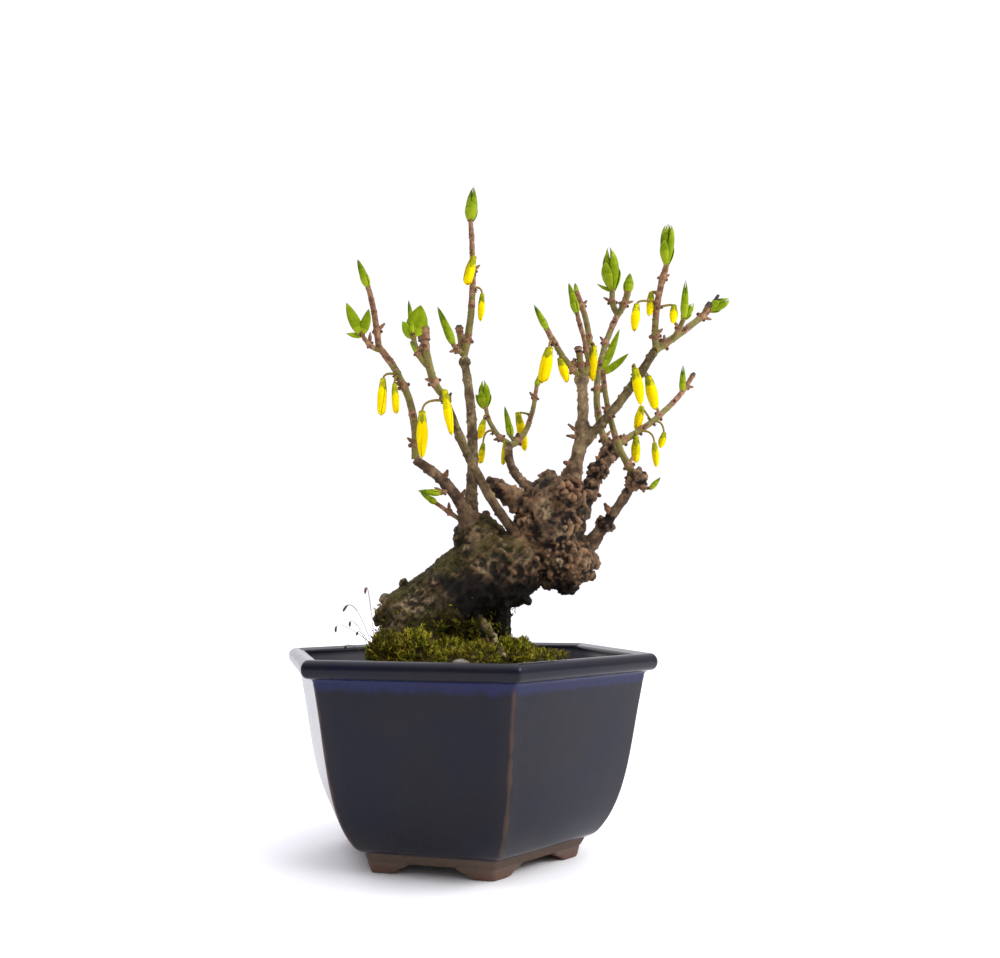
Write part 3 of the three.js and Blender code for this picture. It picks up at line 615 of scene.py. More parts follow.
# %% Turn the section into the pot's body
def pot_body():
    profile = pot_profile()
    rings, from_corner = [], []
    for radius, level in profile:
        outline, away = hexagon_ring(radius, min(CORNER_ROUND, radius * 0.3))
        if radius < FOOT_INNER:
            outline = radius * outline / np.linalg.norm(outline, axis=1, keepdims=True)
        rings.append(at_level(outline, level))
        from_corner.append(away)
    places, faces = looped(rings)
    outwards = unit(places * (1, 1, 0))
    places = places + outwards * 0.12 * rough_noise(places, 22.0, seed=3)[:, None]
    lip_top = np.argmax(profile[:, 1] == RIM_TOP)
    inside = np.repeat(np.arange(len(rings)) >= lip_top + LIP_RINGS, len(rings[0]))
    heap = Heap()
    heap.add(places, faces, 0, from_corner=np.concatenate(from_corner), inside=inside)
    return heap


print("rings in the pot's section:", len(pot_profile()))

# %% [markdown]
# The glaze is nearly black with some blue in it. It is even and a little milky on the wide sides,
# bright blue-violet in a band under the lip, brown where it runs thin over the corners, and it
# stops just above the feet, where the bare stoneware shows grey-brown. Inside, above the soil, it
# is painted paler, as a painted reflection of the bright surroundings. One material holds glaze
# and clay, and the height of a point says which of them it shows. The edge between them wanders.

# %% The glaze
GLAZE_FOOT = 6.4  # height where the glaze stops
CLAY = (0.105, 0.072, 0.052)
CLAY_RED = (0.12, 0.05, 0.028)


def clay_tone(look, places, level):
    speckle = look.noise(places, 0.5, 4.0, 0.7)
    cloudy = look.noise(places, 9.0)
    grey = look.mix(speckle, shade(CLAY, 0.55), shade(CLAY, 1.4))
    reddened = look.rise(level + cloudy * 3.0, 5.4, 2.2)
    return look.mix(reddened * 0.75, grey, CLAY_RED), speckle


def glaze_look():
    look = Look("dark blue glaze over stoneware")
    places = look.places()
    level = look.up(places)
    away = look.kept("from_corner")
    streak = look.noise(places * (0.35, 0.35, 0.08), 1.0, 3.0)
    clouds = look.noise(places, 14.0, 4.0)
    milky = look.noise(places, 3.0, 5.0, 0.7)
    body = look.mix(clouds, (0.004, 0.004, 0.0075), (0.0075, 0.0075, 0.013))
    body = look.mix(look.rise(milky, 0.5, 0.8) * 0.35, body, (0.014, 0.015, 0.022))
    bluish = look.rise(look.noise(places, 26.0, 4.0, 0.6), 0.44, 0.66)
    body = look.mix(bluish * 0.75, body, (0.003, 0.004, 0.015))
    grain = look.noise(places, 0.7, 3.0, 0.7)
    body = look.mix(look.rise(grain, 0.5, 0.75) * 0.3, body, (0.016, 0.015, 0.02))
    pool = look.rise(level + streak * 2.0, 57.2, 59.8) * look.rise(level, 61.2, 60.2)
    body = look.mix(pool * (0.5 + 0.5 * streak), body, (0.011, 0.015, 0.07))
    wander = look.noise(places, 5.0, 4.0)
    corner = look.rise(away + wander * 1.4, 1.75, 0.7) * look.rise(level, 61.0, 57.0)
    haze = look.rise(away + wander * 5.0, 9.0, 2.5) * look.rise(level, 60.0, 54.0)
    body = look.mix(haze * 0.4, body, (0.018, 0.014, 0.017))
    body = look.mix(corner * 0.6, body, (0.08, 0.045, 0.027))
    # Painted reflection: the inner wall above the soil turns pale grey, for the bright surroundings it
    # mirrors.
    body = look.mix(look.kept("inside") * 0.85, body, (0.075, 0.072, 0.085))
    lip_edge = look.rise(level, 66.0, 66.45) * look.rise(wander, 0.35, 0.6)
    body = look.mix(lip_edge * 0.3, body, (0.045, 0.035, 0.04))
    glazed = look.rise(level + wander * 0.9, GLAZE_FOOT + 0.2, GLAZE_FOOT + 0.55)
    rim_line = glazed * look.rise(level + wander * 0.9, GLAZE_FOOT + 1.7, GLAZE_FOOT + 0.5)
    body = look.mix(rim_line * 0.5, body, (0.11, 0.1, 0.1))
    clay, speckle = clay_tone(look, places, level)
    tone = look.mix(glazed, clay, body)
    pits = look.rise(look.cells(places, 2.6), 0.09, 0.02)
    waves = look.noise(places, 6.0, 2.0)
    relief = look.bump(waves + milky * 0.1 - pits * 0.3, 0.05)
    relief = look.bump(speckle * (1 - glazed), 0.25, relief)
    gloss = 0.17 + milky * 0.1 + (1 - glazed) * 0.5
    return look.finish(Base_Color=tone, Roughness=gloss, Normal=relief, Specular_IOR_Level=0.17)


pot_body().piece("pot_body", [glaze_look()], "glaze", ["pot"])

# %% [markdown]
# The six feet are what is left of a ring under the pot once the gaps between them are cut away.
# Each gap has a small step and then a curve, which potters call a cloud foot. Cutting with a
# Boolean gives sharp edges, so the result is remeshed finely and smoothed, which rounds them as
# wet clay is rounded. Trunk and moss are remeshed in the same way later, so it is a helper.

# %% Remesh and smooth helpers
def object_of(heap, name):
    made = bpy.data.objects.new(name, heap.mesh(name, metres=False))
    scene.collection.objects.link(made)
    return made


def solid_of(heap, name):
    """An object whose open ends, if it has any, are capped, and whose faces look outwards."""
    made = object_of(heap, name)
    shape = bmesh.new()
    shape.from_mesh(made.data)
    open_edges = [edge for edge in shape.edges if edge.is_boundary]
    if open_edges:
        bmesh.ops.contextual_create(shape, geom=open_edges)
    bmesh.ops.recalc_face_normals(shape, faces=shape.faces)
    shape.to_mesh(made.data)
    shape.free()
    return made


def remeshed(piece, voxel, cuts=()):
    """Cuts a scratch object, wraps it in small squares and gives their corners' places and the
    squares. The object is removed."""
    for kind, settings in [*cuts, ("REMESH", {"mode": "VOXEL", "voxel_size": voxel})]:
        modifier = piece.modifiers.new(kind, kind)
        for setting, value in settings.items():
            setattr(modifier, setting, value)
    made = piece.evaluated_get(bpy.context.evaluated_depsgraph_get())
    mesh = made.to_mesh()
    places = np.zeros(len(mesh.vertices) * 3, np.float32)
    mesh.vertices.foreach_get("co", places)
    faces = np.zeros(len(mesh.polygons) * 4, np.int32)
    mesh.polygons.foreach_get("vertices", faces)
    made.to_mesh_clear()
    data = piece.data
    bpy.data.objects.remove(piece)
    bpy.data.meshes.remove(data)
    return places.reshape(-1, 3).astype(float), faces.reshape(-1, 4)


def edges_of(faces):
    pairs = np.concatenate([faces[:, [i, (i + 1) % faces.shape[1]]] for i in range(faces.shape[1])])
    return np.unique(np.sort(pairs, axis=1), axis=0)


def gathered(targets, values, count):
    return np.stack([np.bincount(targets, values[:, axis], count) for axis in range(3)], axis=1)


PULL, PUSH = 0.5, -0.53


def smoothed(places, faces, rounds):
    """Each round pulls every point to its neighbours' middle, then pushes back, which keeps size."""
    edges = edges_of(faces)
    ends = np.concatenate([edges, edges[:, ::-1]])
    shares = np.bincount(ends[:, 0], minlength=len(places))[:, None]
    for step in [PULL, PUSH] * rounds:
        middle = gathered(ends[:, 0], places[ends[:, 1]], len(places)) / shares
        places = places + step * (middle - places)
    return places


def normals_of(places, faces):
    across = places[faces[:, 2]] - places[faces[:, 0]]
    along = places[faces[:, -1]] - places[faces[:, 1]]
    face_normals = np.cross(across, along)
    total = sum(gathered(faces[:, i], face_normals, len(places)) for i in range(faces.shape[1]))
    return unit(total)


# %% The feet
FOOT_GAP = [(13.25, 0.0), (12.0, 0.5), (10.6, 1.6), (9.3, 2.0), (8.6, 2.1), (8.1, 2.9), (7.25, 3.35)]
FOOT_VOXEL = 0.5
BAR_REACH = 60.0


def foot_ring():
    inner, top = FOOT_INNER + 1.5, BODY_FOOT + 0.5
    section = [(inner, top), (inner, 0.0), (FOOT_BOTTOM, 0.0), (FOOT_OUTER - 0.3, top)]
    outlines = [hexagon_ring(radius, arc_steps=5, side_steps=6)[0] for radius, _ in section]
    heap = Heap()
    heap.add(*looped([at_level(outline, level) for outline, (_, level) in zip(outlines, section)]))
    return solid_of(heap, "foot ring")


def gap_bar(turn):
    """A bar with the gap's outline, which runs right through under two opposite sides."""
    half = [(FOOT_GAP[0][0], -1.0), *FOOT_GAP]
    outline = np.array([*half, *[(-x, z) for x, z in half[::-1]]])
    rows = []
    for depth in (-BAR_REACH, BAR_REACH):
        x = outline[:, 0] * math.cos(turn) - depth * math.sin(turn)
        y = outline[:, 0] * math.sin(turn) + depth * math.cos(turn)
        rows.append(np.column_stack([x, y, outline[:, 1]]))
    heap = Heap()
    heap.add(np.concatenate(rows), grid_faces(2, len(outline), closed=True))
    return solid_of(heap, "gap bar")


def feet():
    bars = [gap_bar(CORNER + side * math.pi / 3) for side in range(3)]
    cuts = [("BOOLEAN", {"operation": "DIFFERENCE", "object": bar, "solver": "EXACT"}) for bar in bars]
    places, faces = remeshed(foot_ring(), FOOT_VOXEL, cuts)
    for bar in bars:
        bpy.data.objects.remove(bar)
    places = smoothed(places, faces, 6)
    places += normals_of(places, faces) * 0.09 * rough_noise(places, 3.0, seed=5)[:, None]
    places[:, 2] = np.maximum(places[:, 2], 0.0)
    heap = Heap()
    heap.add(places, faces)
    return heap


def clay_look():
    look = Look("bare stoneware")
    places = look.places()
    tone, speckle = clay_tone(look, places, look.up(places))
    chips = look.rise(look.cells(places, 1.9), 0.16, 0.06)
    tone = look.mix(chips * 0.4, tone, (0.03, 0.02, 0.016))
    relief = look.bump(speckle - chips * 0.8, 0.22)
    return look.finish(Base_Color=tone, Roughness=0.62 + speckle * 0.25, Normal=relief)


feet().piece("pot_feet", [clay_look()], "glaze")

# %% [markdown]
# The trunk is an old, often cut-back stump: a log that leans up to the right from a swollen root
# flare, and a head of burls where most boughs start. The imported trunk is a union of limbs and
# lumps, and its named sizes are used again here: only the front root ends a little higher, and
# some small knobs are added. A limb follows a curve whose middle is pushed aside by its bow. Its
# points are spread evenly by length, as in the model, so that a place given as a share of the
# length is the same place in both.

# %% Sizes of the trunk and the boughs
# A lump's row: its middle and its half sizes. A limb's row: its start, its end, its bow and its
# two radii. A bough's start is a place, or the bough that it leaves and the share of its length.
CUT = 64.0  # height of the flat cut under the trunk
TRUNK_LUMPS = {
    "left_lump": ((-17.6, -3, 79), (11.4, 11.2, 11.2)),
    "shoulder": ((4.8, 0, 105.6), (8.8, 9, 8.6)),
    "neck": ((17, 0, 96.5), (12.5, 12.5, 11.5)),
    "neck_foot": ((18, 0, 86.5), (4.6, 6, 4.6)),
    "head_low": ((34.4, 0, 98.6), (11.8, 11.5, 10.8)),
    "head_middle": ((30.2, 0, 110), (12.5, 12.5, 12)),
    "head_top": ((32, 0, 120), (10.5, 10, 7.5)),
    "head_knob": ((30.3, 2, 127), (2.6, 2.8, 3)),
    "head_side": ((44, 0, 97.5), (3.4, 3.6, 3.2)),
    "head_foot": ((36, 0, 88.6), (3.6, 4, 3.4)),
}
TRUNK_LIMBS = {
    "log": ((-20.5, -3, 75), (14, 0, 97.5), (0.6, 0, 2.4), (9.8, 13.2)),
    "left_flare": ((-17.6, -3, 80), (-18.6, -4, 58), (-0.4, 0, 0), (10.6, 12.4)),
    "back_root": ((0, 2, 88), (-3, 9, 58), (0, 1, 0), (9, 11.5)),
    "right_leg": ((13.4, 2, 88), (12.6, 3, 60), (-0.5, 0, 0), (4, 3.5)),
    "front_root": ((2, -1, 80), (12.6, -25, 65), (1.2, -1.5, 0.6), (2.2, 1.5)),
    "left_root": ((-22, -6, 68), (-33, -13, 61), (0, 0, 1), (4.6, 1.8)),
    "rear_root": ((6, 10, 72), (20, 22, 61), (0, 1, 1.4), (4.6, 1.8)),
    "shoulder_top": ((5, 0, 106), (4, 0, 113.6), (0, 0, 0), (8, 4.4)),
    "dead_stub": ((22, -2, 116), (7.6, -5, 124.4), (0.8, 0, 0.6), (3.9, 2.5)),
    "cut_face": ((34, 0, 118), (37.2, -12.4, 122.4), (0, 0, 0), (5.4, 4.2)),
}
KNOB_HOSTS = ("left_lump", "shoulder", "head_low", "head_middle", "head_top", "neck")
KNOB_COUNT, KNOB_SIZE, KNOB_SINK, KNOB_SEED = 20, (1.5, 3.1), 0.35, 11
FRONT_KNOBS = [  # knobs that the photograph shows: a place and a radius
    ((-28.6, -4, 70.9), 2.6), ((-29.6, -4, 77.1), 2.1), ((-27, -4, 84.3), 2.3), ((-21, -4, 89.6), 1.8),
    ((-12, -4, 92.8), 1.7), ((-2.4, -6.4, 104.8), 1.6), ((0.4, -9, 101.4), 1.4), ((13.4, -9.5, 101.4), 1.6),
    ((-10.3, -12.4, 90.6), 2.3), ((44.6, -3, 92), 1.6), ((38.5, -4, 88.4), 1.7), ((21.5, -5, 84), 1.5),
    ((15.2, -4, 83), 1.4), ((7.6, -3, 113.8), 1.3), ((41, -8, 115), 1.7), ((25.5, -9, 106), 1.6),
]
BOUGHS = {
    "tall_bough": ((1.2, 1.4, 109), (-0.5, 6, 172.5), (2.5, 0.5, 0), (2.7, 1.7)),
    "stub_bough": ((1.5, -2.6, 109), (-17, -15, 131.5), (4, -1, 0.4), (2.6, 1.8)),
    "slanting_bough": ((19, -4.6, 105.5), (-7, -21, 152.5), (-1.1, -1, -3.5), (1.9, 1.5)),
    "curved_bough": ((26, 3, 122), (16.5, 12, 140.5), (-3.2, 0.5, -1), (2.2, 1.7)),
    "main_bough": ((34.5, 0, 120), (42, -2, 162.5), (3, 0, -2.5), (3.5, 2)),
    "long_bough": (("main_bough", 0.46), (66, -15, 170), (0.8, 0, -1.6), (2.1, 1.8)),
    "gnarled_bough": ((42, 7, 113.5), (56, 14, 141), (-1.5, 0, 0.5), (3.2, 2.7)),
    "low_bough": ((40, -2, 98), (60.4, -7, 126), (-0.3, 0, -1.2), (2.7, 2)),
}
CRUMBLY = [  # places where callus has grown over a wound in small crumbs, and how far they reach
    ((37.2, -13, 122), 6.2), ((33, -10, 99), 6.5), ((30, -8, 90), 5.5), ((41, -6, 94), 5.5),
    ((20, -9, 112), 4.5), ((36, -9, 110), 4.5),
]
BURLS = [  # a bough, the share of its length and a radius
    ("main_bough", 1, 2.9), ("main_bough", 0.62, 2.9), ("gnarled_bough", 0.3, 3.9),
    ("gnarled_bough", 0.62, 4.2), ("gnarled_bough", 0.94, 4), ("low_bough", 0.45, 2.9),
    ("low_bough", 1, 4), ("tall_bough", 0.97, 2.4), ("slanting_bough", 0.98, 2.2),
]


class Bow:
    """A curve from one place to another whose middle is pushed aside."""

    def __init__(self, start, end, bow):
        start, end = np.array(start, float), np.array(end, float)
        self.points = bent(start, (start + end) / 2 + 2 * np.array(bow, float), end, 201)
        steps = distance(self.points[1:], self.points[:-1])
        self.gone = np.concatenate([[0], np.cumsum(steps)])
        self.length = self.gone[-1]

    def at(self, share):
        """The places at one share of the length, or at several."""
        gone = np.asarray(share, float) * self.length
        return np.stack([np.interp(gone, self.gone, self.points[:, axis]) for axis in range(3)], axis=-1)

    def way(self, share):
        step = 0.01
        return unit(self.at(np.minimum(share + step, 1)) - self.at(np.maximum(share - step, 0)))


bough_curves = {}
for name, (start, end, bow, _) in BOUGHS.items():
    start = bough_curves[start[0]].at(start[1]) if isinstance(start[0], str) else start
    bough_curves[name] = Bow(start, end, bow)
print("bough lengths:", {name: round(curve.length) for name, curve in bough_curves.items()})

# %% [markdown]
# All the wood is first laid together roughly, from tubes and balls that run into each other. A
# voxel remesh then wraps one even skin of small squares round the lot, so that a bough grows out
# of the trunk with no seam. After a little smoothing the skin is ready to be carved by numbers.

# %% Lay the wood together and wrap it in one skin
WOOD_VOXEL = 0.49
COLLAR, COLLAR_REACH = 0.45, 3.4  # how much a bough widens where it leaves the trunk, and how far
RING_HEIGHT, RING_SPACING = 0.1, 7.5  # the rings on a bough where old shoots stood
HOST_DEPTH = 2.0  # how deep a bough that leaves another starts in it
SLIMMER = {  # the model's wood is a little thicker than life
    "main_bough": 0.82, "long_bough": 0.8, "tall_bough": 0.84, "curved_bough": 0.82, "slanting_bough": 0.9,
    "stub_bough": 0.86, "low_bough": 0.78, "gnarled_bough": 0.92, "front_root": 0.72,
    "left_lump": 0.93, "left_flare": 0.9,
}
SLIM_COLLAR = {"slanting_bough": 0.1, "curved_bough": 0.25, "gnarled_bough": 0.3}
FOOT_REACH = 5.0  # how far a bough's foot runs on into the trunk
SMOOTH_ROUNDS = 5
BOUGH_STEPS = 60  # places along a bough


def unit_ball(detail):
    shape = bmesh.new()
    bmesh.ops.create_icosphere(shape, subdivisions=detail, radius=1.0)
    places = np.array([vertex.co[:] for vertex in shape.verts])
    faces = np.array([[vertex.index for vertex in face.verts] for face in shape.faces])
    shape.free()
    return places, faces


BALL = unit_ball(4)
SMALL_BALL = unit_ball(2)


def add_ball(heap, centre, half, ball=BALL):
    heap.add(ball[0] * half + centre, ball[1])


def knob_rows():
    """The small knobs that the model deals out over the trunk, by the same draws."""
    draw = draws(KNOB_SEED)
    for index in range(KNOB_COUNT):
        centre, half = TRUNK_LUMPS[KNOB_HOSTS[index % len(KNOB_HOSTS)]]
        up = 2 * next(draw) - 1
        turn = 2 * math.pi * next(draw)
        level = math.sqrt(1 - up * up)
        way = np.array([level * math.cos(turn), level * math.sin(turn), up])
        size = between(KNOB_SIZE, next(draw))
        yield np.array(centre) + way * (np.array(half) - KNOB_SINK * size), size


def depths(places, lumps):
    """How far each place is from the nearest lump's middle, as a share: below 1 is inside it."""
    shares = [np.linalg.norm((places - np.array(centre)) / half, axis=-1) for centre, half in lumps]
    return np.min(shares, axis=0)


def inside_trunk(places):
    return depths(places, TRUNK_LUMPS.values())


def leaves_trunk(name):
    """Whether a bough leaves the trunk itself, and not another bough."""
    return not isinstance(BOUGHS[name][0][0], str)


def bough_radii(name, line):
    """A bough's radius at each place on it: a collar at its foot, and rings where old shoots stood."""
    share = np.linspace(0, 1, len(line))
    gone = share * bough_curves[name].length
    surface = gone[np.argmax(inside_trunk(line) > 1.0)] if leaves_trunk(name) else HOST_DEPTH
    collar = SLIM_COLLAR.get(name, COLLAR) * np.exp(-((gone - surface) / COLLAR_REACH) ** 2)
    rings = RING_HEIGHT * np.abs(np.sin(gone / RING_SPACING * math.pi)) ** 6
    return between(BOUGHS[name][3], share) * SLIMMER.get(name, 1.0) * (1.0 + collar + rings)


def rough_wood():
    heap = Heap()
    for name, (start, end, bow, radii) in TRUNK_LIMBS.items():
        share = np.linspace(0, 1, 16)
        radii = between(radii, share) * SLIMMER.get(name, 1.0)
        heap.add(*tube(Bow(start, end, bow).at(share), radii, 28))
    for name, (centre, half) in TRUNK_LUMPS.items():
        add_ball(heap, centre, np.array(half) * SLIMMER.get(name, 1.0))
    for centre, size in [*knob_rows(), *FRONT_KNOBS]:
        add_ball(heap, centre, size, SMALL_BALL)
    centres = np.array([centre for centre, _ in TRUNK_LUMPS.values()])
    for name, curve in bough_curves.items():
        line = curve.at(np.linspace(0, 1, BOUGH_STEPS))
        radii = bough_radii(name, line)
        if leaves_trunk(name):
            nearest = centres[np.argmin(distance(centres, line[0]))]
            line = np.vstack([line[0] + unit(nearest - line[0]) * FOOT_REACH, line])
            radii = np.concatenate([radii[:1], radii])
        heap.add(*tube(line, radii, 20))
    for name, share, size in BURLS:
        add_ball(heap, bough_curves[name].at(share), (size, size, size * 0.9), SMALL_BALL)
    return object_of(heap, "rough wood")


skin, skin_faces = remeshed(rough_wood(), WOOD_VOXEL)
skin = smoothed(skin, skin_faces, SMOOTH_ROUNDS)
print("skin of the wood:", len(skin), "points,", 2 * len(skin_faces), "triangles")

# %% [markdown]
# Carving by numbers moves each point along its own normal. Old forsythia bark is cracked and
# lumpy on the burls, smoother on the log, and on the boughs it is thin and set with small corky
# warts, the lenticels. So each kind of wood has a mask, a number from 0 to 1 for each point, and
# the depth of each kind of relief is a sum over the masks.

# %% Carve the bark
def lump_mask(places, *names):
    """1 in the named lumps of the trunk, fading to 0 a little outside them."""
    return 1 - soft_step(depths(places, [TRUNK_LUMPS[name] for name in names]), 1.05, 1.5)


TAN_BARK = {  # from each bough's foot to its end
    "tall_bough": (0.15, 1.0), "stub_bough": (0.15, 0.3), "slanting_bough": (0.05, 0.45),
    "curved_bough": (0.3, 0.55), "main_bough": (0.35, 1.0), "long_bough": (0.7, 0.5),
    "gnarled_bough": (0.0, 0.1), "low_bough": (0.2, 0.35),
}
OLIVE_SKIN = {  # the same, for boughs whose young skin is still green
    "tall_bough": (0.1, 0.7), "slanting_bough": (0.0, 0.85), "long_bough": (0.4, 0.95),
    "main_bough": (0.0, 0.35),
}


def bough_masks(places):
    """How much each point belongs to a bough, how tan its bark is, and how green its skin."""
    mask, tan, olive = np.zeros((3, len(places)))
    for name, curve in bough_curves.items():
        shares = np.linspace(0, 1, BOUGH_STEPS)
        line = curve.at(shares)
        outside = inside_trunk(line) > 1.0
        line, shares = line[outside], shares[outside]
        away, share = np.full(len(places), 99.0), np.zeros(len(places))
        for place, here in zip(line, shares):
            reach = distance(places, place)
            share = np.where(reach < away, here, share)
            away = np.minimum(away, reach)
        own = 1 - soft_step(away / BOUGHS[name][3][0], 1.45, 1.95)
        mask = np.maximum(mask, own)
        tan = np.maximum(tan, own * between(TAN_BARK[name], share))
        olive = np.maximum(olive, own * between(OLIVE_SKIN.get(name, (0, 0)), share))
    return mask, tan, olive


skin_normals = normals_of(skin, skin_faces)
on_bough, tan_bark, olive_skin = bough_masks(skin)
on_head = lump_mask(skin, "head_low", "head_middle", "head_top", "head_side", "head_foot") * (1 - on_bough)
on_head = np.maximum(on_head, soft_step(skin[:, 2], 113, 116) * (1 - on_bough))
old_bough = np.max([
    1 - soft_step(distance(skin, bough_curves[name].at(share)) / size, 1.0, 1.9)
    for name, share, size in BURLS if name in ("gnarled_bough", "low_bough")
], axis=0)
on_log = (1 - on_head) * (1 - on_bough)
on_neck = lump_mask(skin, "neck", "neck_foot") * on_log
to_callus = np.min([distance(skin, centre) / reach for centre, reach in CRUMBLY], axis=0)
crumbly = np.clip(1 - soft_step(to_callus, 0.7, 1.2) + 0.8 * old_bough, 0, 1)
crumbs = 1 - soft_step(to_centres(skin, 1.7, seed=45), 0.15, 0.7)
swells = rough_noise(skin, 9.0, seed=21)
cracks = -np.abs(noise(skin, 4.2, seed=31)) ** 0.6 - 0.5 * np.abs(noise(skin, 2.1, seed=32)) ** 0.6
warts = 1 - soft_step(to_centres(skin, 3.2, seed=41), 0.1, 0.5)
warts = warts * soft_step(noise(skin, 7.0, seed=42), -0.3, 0.25)  # they come in crowds
small_warts = 1 - soft_step(to_centres(skin, 2.3, seed=51), 0.12, 0.34)
grit = rough_noise(skin, 1.1, seed=61)
LOG_AXES = np.array([[0.5, 0, 0.5], [0, 1, 0], [-1, 0, 1]])  # along the log, and twice across it
grain = noise(skin @ LOG_AXES.T * (0.25, 1, 1), 1.6, seed=71)
rugged = np.clip(on_head + 0.9 * old_bough + 0.35 * on_neck, 0, 1)
relief = (
    rugged * (0.8 * swells + 1.15 * (cracks + 0.75) + 1.1 * warts + 0.35 * grit)
    + 1.2 * crumbly * (crumbs - 0.4)
    + on_log * (0.8 * swells + 0.8 * (cracks + 0.6) + 0.45 * warts + 0.28 * grain + 0.25 * grit)
    + on_bough * (1 - old_bough) * (0.12 * swells + 0.45 * small_warts + 0.18 * (cracks + 0.7) + 0.08 * grit)
)
carved = skin + skin_normals * relief[:, None]
carved[:, 2] = np.maximum(carved[:, 2], CUT - 1.0)
print("relief in mm, from", relief.min().round(2), "to", relief.max().round(2))

# %% [markdown]
# The colour of the bark follows the carving: cracks get painted shade, wart tops a painted highlight.
# What has a place on the tree is kept with the mesh as a number for each point: how young the
# wood is, how mossy, where the fibres of the log run, how dark in the hollow under the log, as
# painted shadow over damp dark bark, and on undersides, as painted shade, how pale where a stub was
# cut or bark has come off, and how red where a wound has healed over. The material only mixes by them.

# %% Where the marks of age are
PALE_MARKS = [  # the middle of a mark, its half sizes and its strength
    ((-16.3, -14, 83.3), (7, 6, 6.5), 0.9), ((-10.3, -13.4, 90.6), (1.8, 3, 1.8), 1.0),
    ((-7.6, -12.5, 86), (2.6, 4, 1.6), 0.4), ((6.7, -12, 95.4), (5, 5, 2.6), 0.55),
    ((-4.3, -9, 105), (1.6, 3, 1.4), 0.7), ((0.4, -10, 101.4), (1.5, 3, 1.3), 0.8),
    ((13.4, -10.5, 101.4), (1.7, 3, 1.5), 0.8), ((27.3, -12, 116), (3.4, 5, 5), 0.6),
    ((3, -9, 106.5), (5, 5, 4), 0.35), ((34, -12, 106), (4, 5, 5), 0.35), ((12.6, -25, 65), (4, 5, 5), 1.0),
    ((11.4, -18, 69), (4, 5, 6), 1.0), ((8.5, -12, 74), (3.4, 4, 4), 0.7), ((-22, -13, 76), (4, 6, 7), 0.6),
    ((-31, -5, 77), (3, 4, 2.6), 0.8), ((-30.6, -5, 71), (3, 4, 3), 0.7),
    ((-28.6, -5, 85), (3, 4, 2.6), 0.6), ((43, -9, 94), (3, 6, 6), 0.35),
    ((33, -11.5, 97), (2.8, 5, 1.7), 1.0),
]
RED_MARKS = [  # the same
    ((37.2, -14.4, 122), (5.6, 5, 5.4), 1.0), ((33, -11.5, 97), (2.8, 5, 1.7), 0.35),
    ((26, -10, 93), (7, 6, 6), 0.3), ((-4, -6, 110), (3.5, 6, 4), 0.5), ((5, -4, 113.5), (3.5, 5, 3), 0.45),
]
# Rows of x and the height of the hollow's upper edge, and rows of height and the x of its left one.
HOLLOW_TOP = [(-12, 93.5), (-4, 92.5), (6, 92), (17, 91.5), (28, 90.5), (40, 89)]
HOLLOW_LEFT = [(60, 2), (72, 0), (80, -3.5), (86, -7), (91, -10.5)]
HOLLOW_BACK, HOLLOW_RIGHT = (7, 13), (40, 46)  # where it begins to fade out, and has faded


def marked(places, marks):
    """How strongly each place is marked: full in the middle of a mark, with a ragged edge."""
    ragged = 0.5 * noise(places, 2.6, seed=83) + 0.35 * noise(places, 1.1, seed=84)
    masks = []
    for centre, half, strength in marks:
        share = np.linalg.norm((places - np.array(centre)) / half, axis=1)
        masks.append(strength * (1 - soft_step(share + ragged, 0.5, 1.1)))
    return np.max(masks, axis=0)


# The hollow's dark is painted shadow under the log, over bark that is damp and dark there.
def hollow_mask(places):
    wander = 1.6 * noise(places, 5.0, seed=81) + 0.8 * noise(places, 1.9, seed=82)
    top = np.interp(places[:, 0], *np.array(HOLLOW_TOP).T)
    left = np.interp(places[:, 2], *np.array(HOLLOW_LEFT).T)
    inside = soft_step(top - places[:, 2] + wander, -1.4, 2.6)
    inside = inside * soft_step(places[:, 0] - left + wander, -1.2, 3.0)
    root = Bow(*TRUNK_LIMBS["front_root"][:3]).at(np.linspace(0.3, 1, 12))
    to_root = np.min(distance(places[:, None], root), axis=1)
    inside = inside * soft_step(to_root, 2.6, 4.2)
    inside = inside * (1 - soft_step(places[:, 1], *HOLLOW_BACK))
    return inside * (1 - soft_step(places[:, 0], *HOLLOW_RIGHT))


pale, red, hollow = marked(carved, PALE_MARKS), marked(carved, RED_MARKS), hollow_mask(carved)
print("share of the wood in the hollow's dark:", round(float(hollow.mean()), 3))

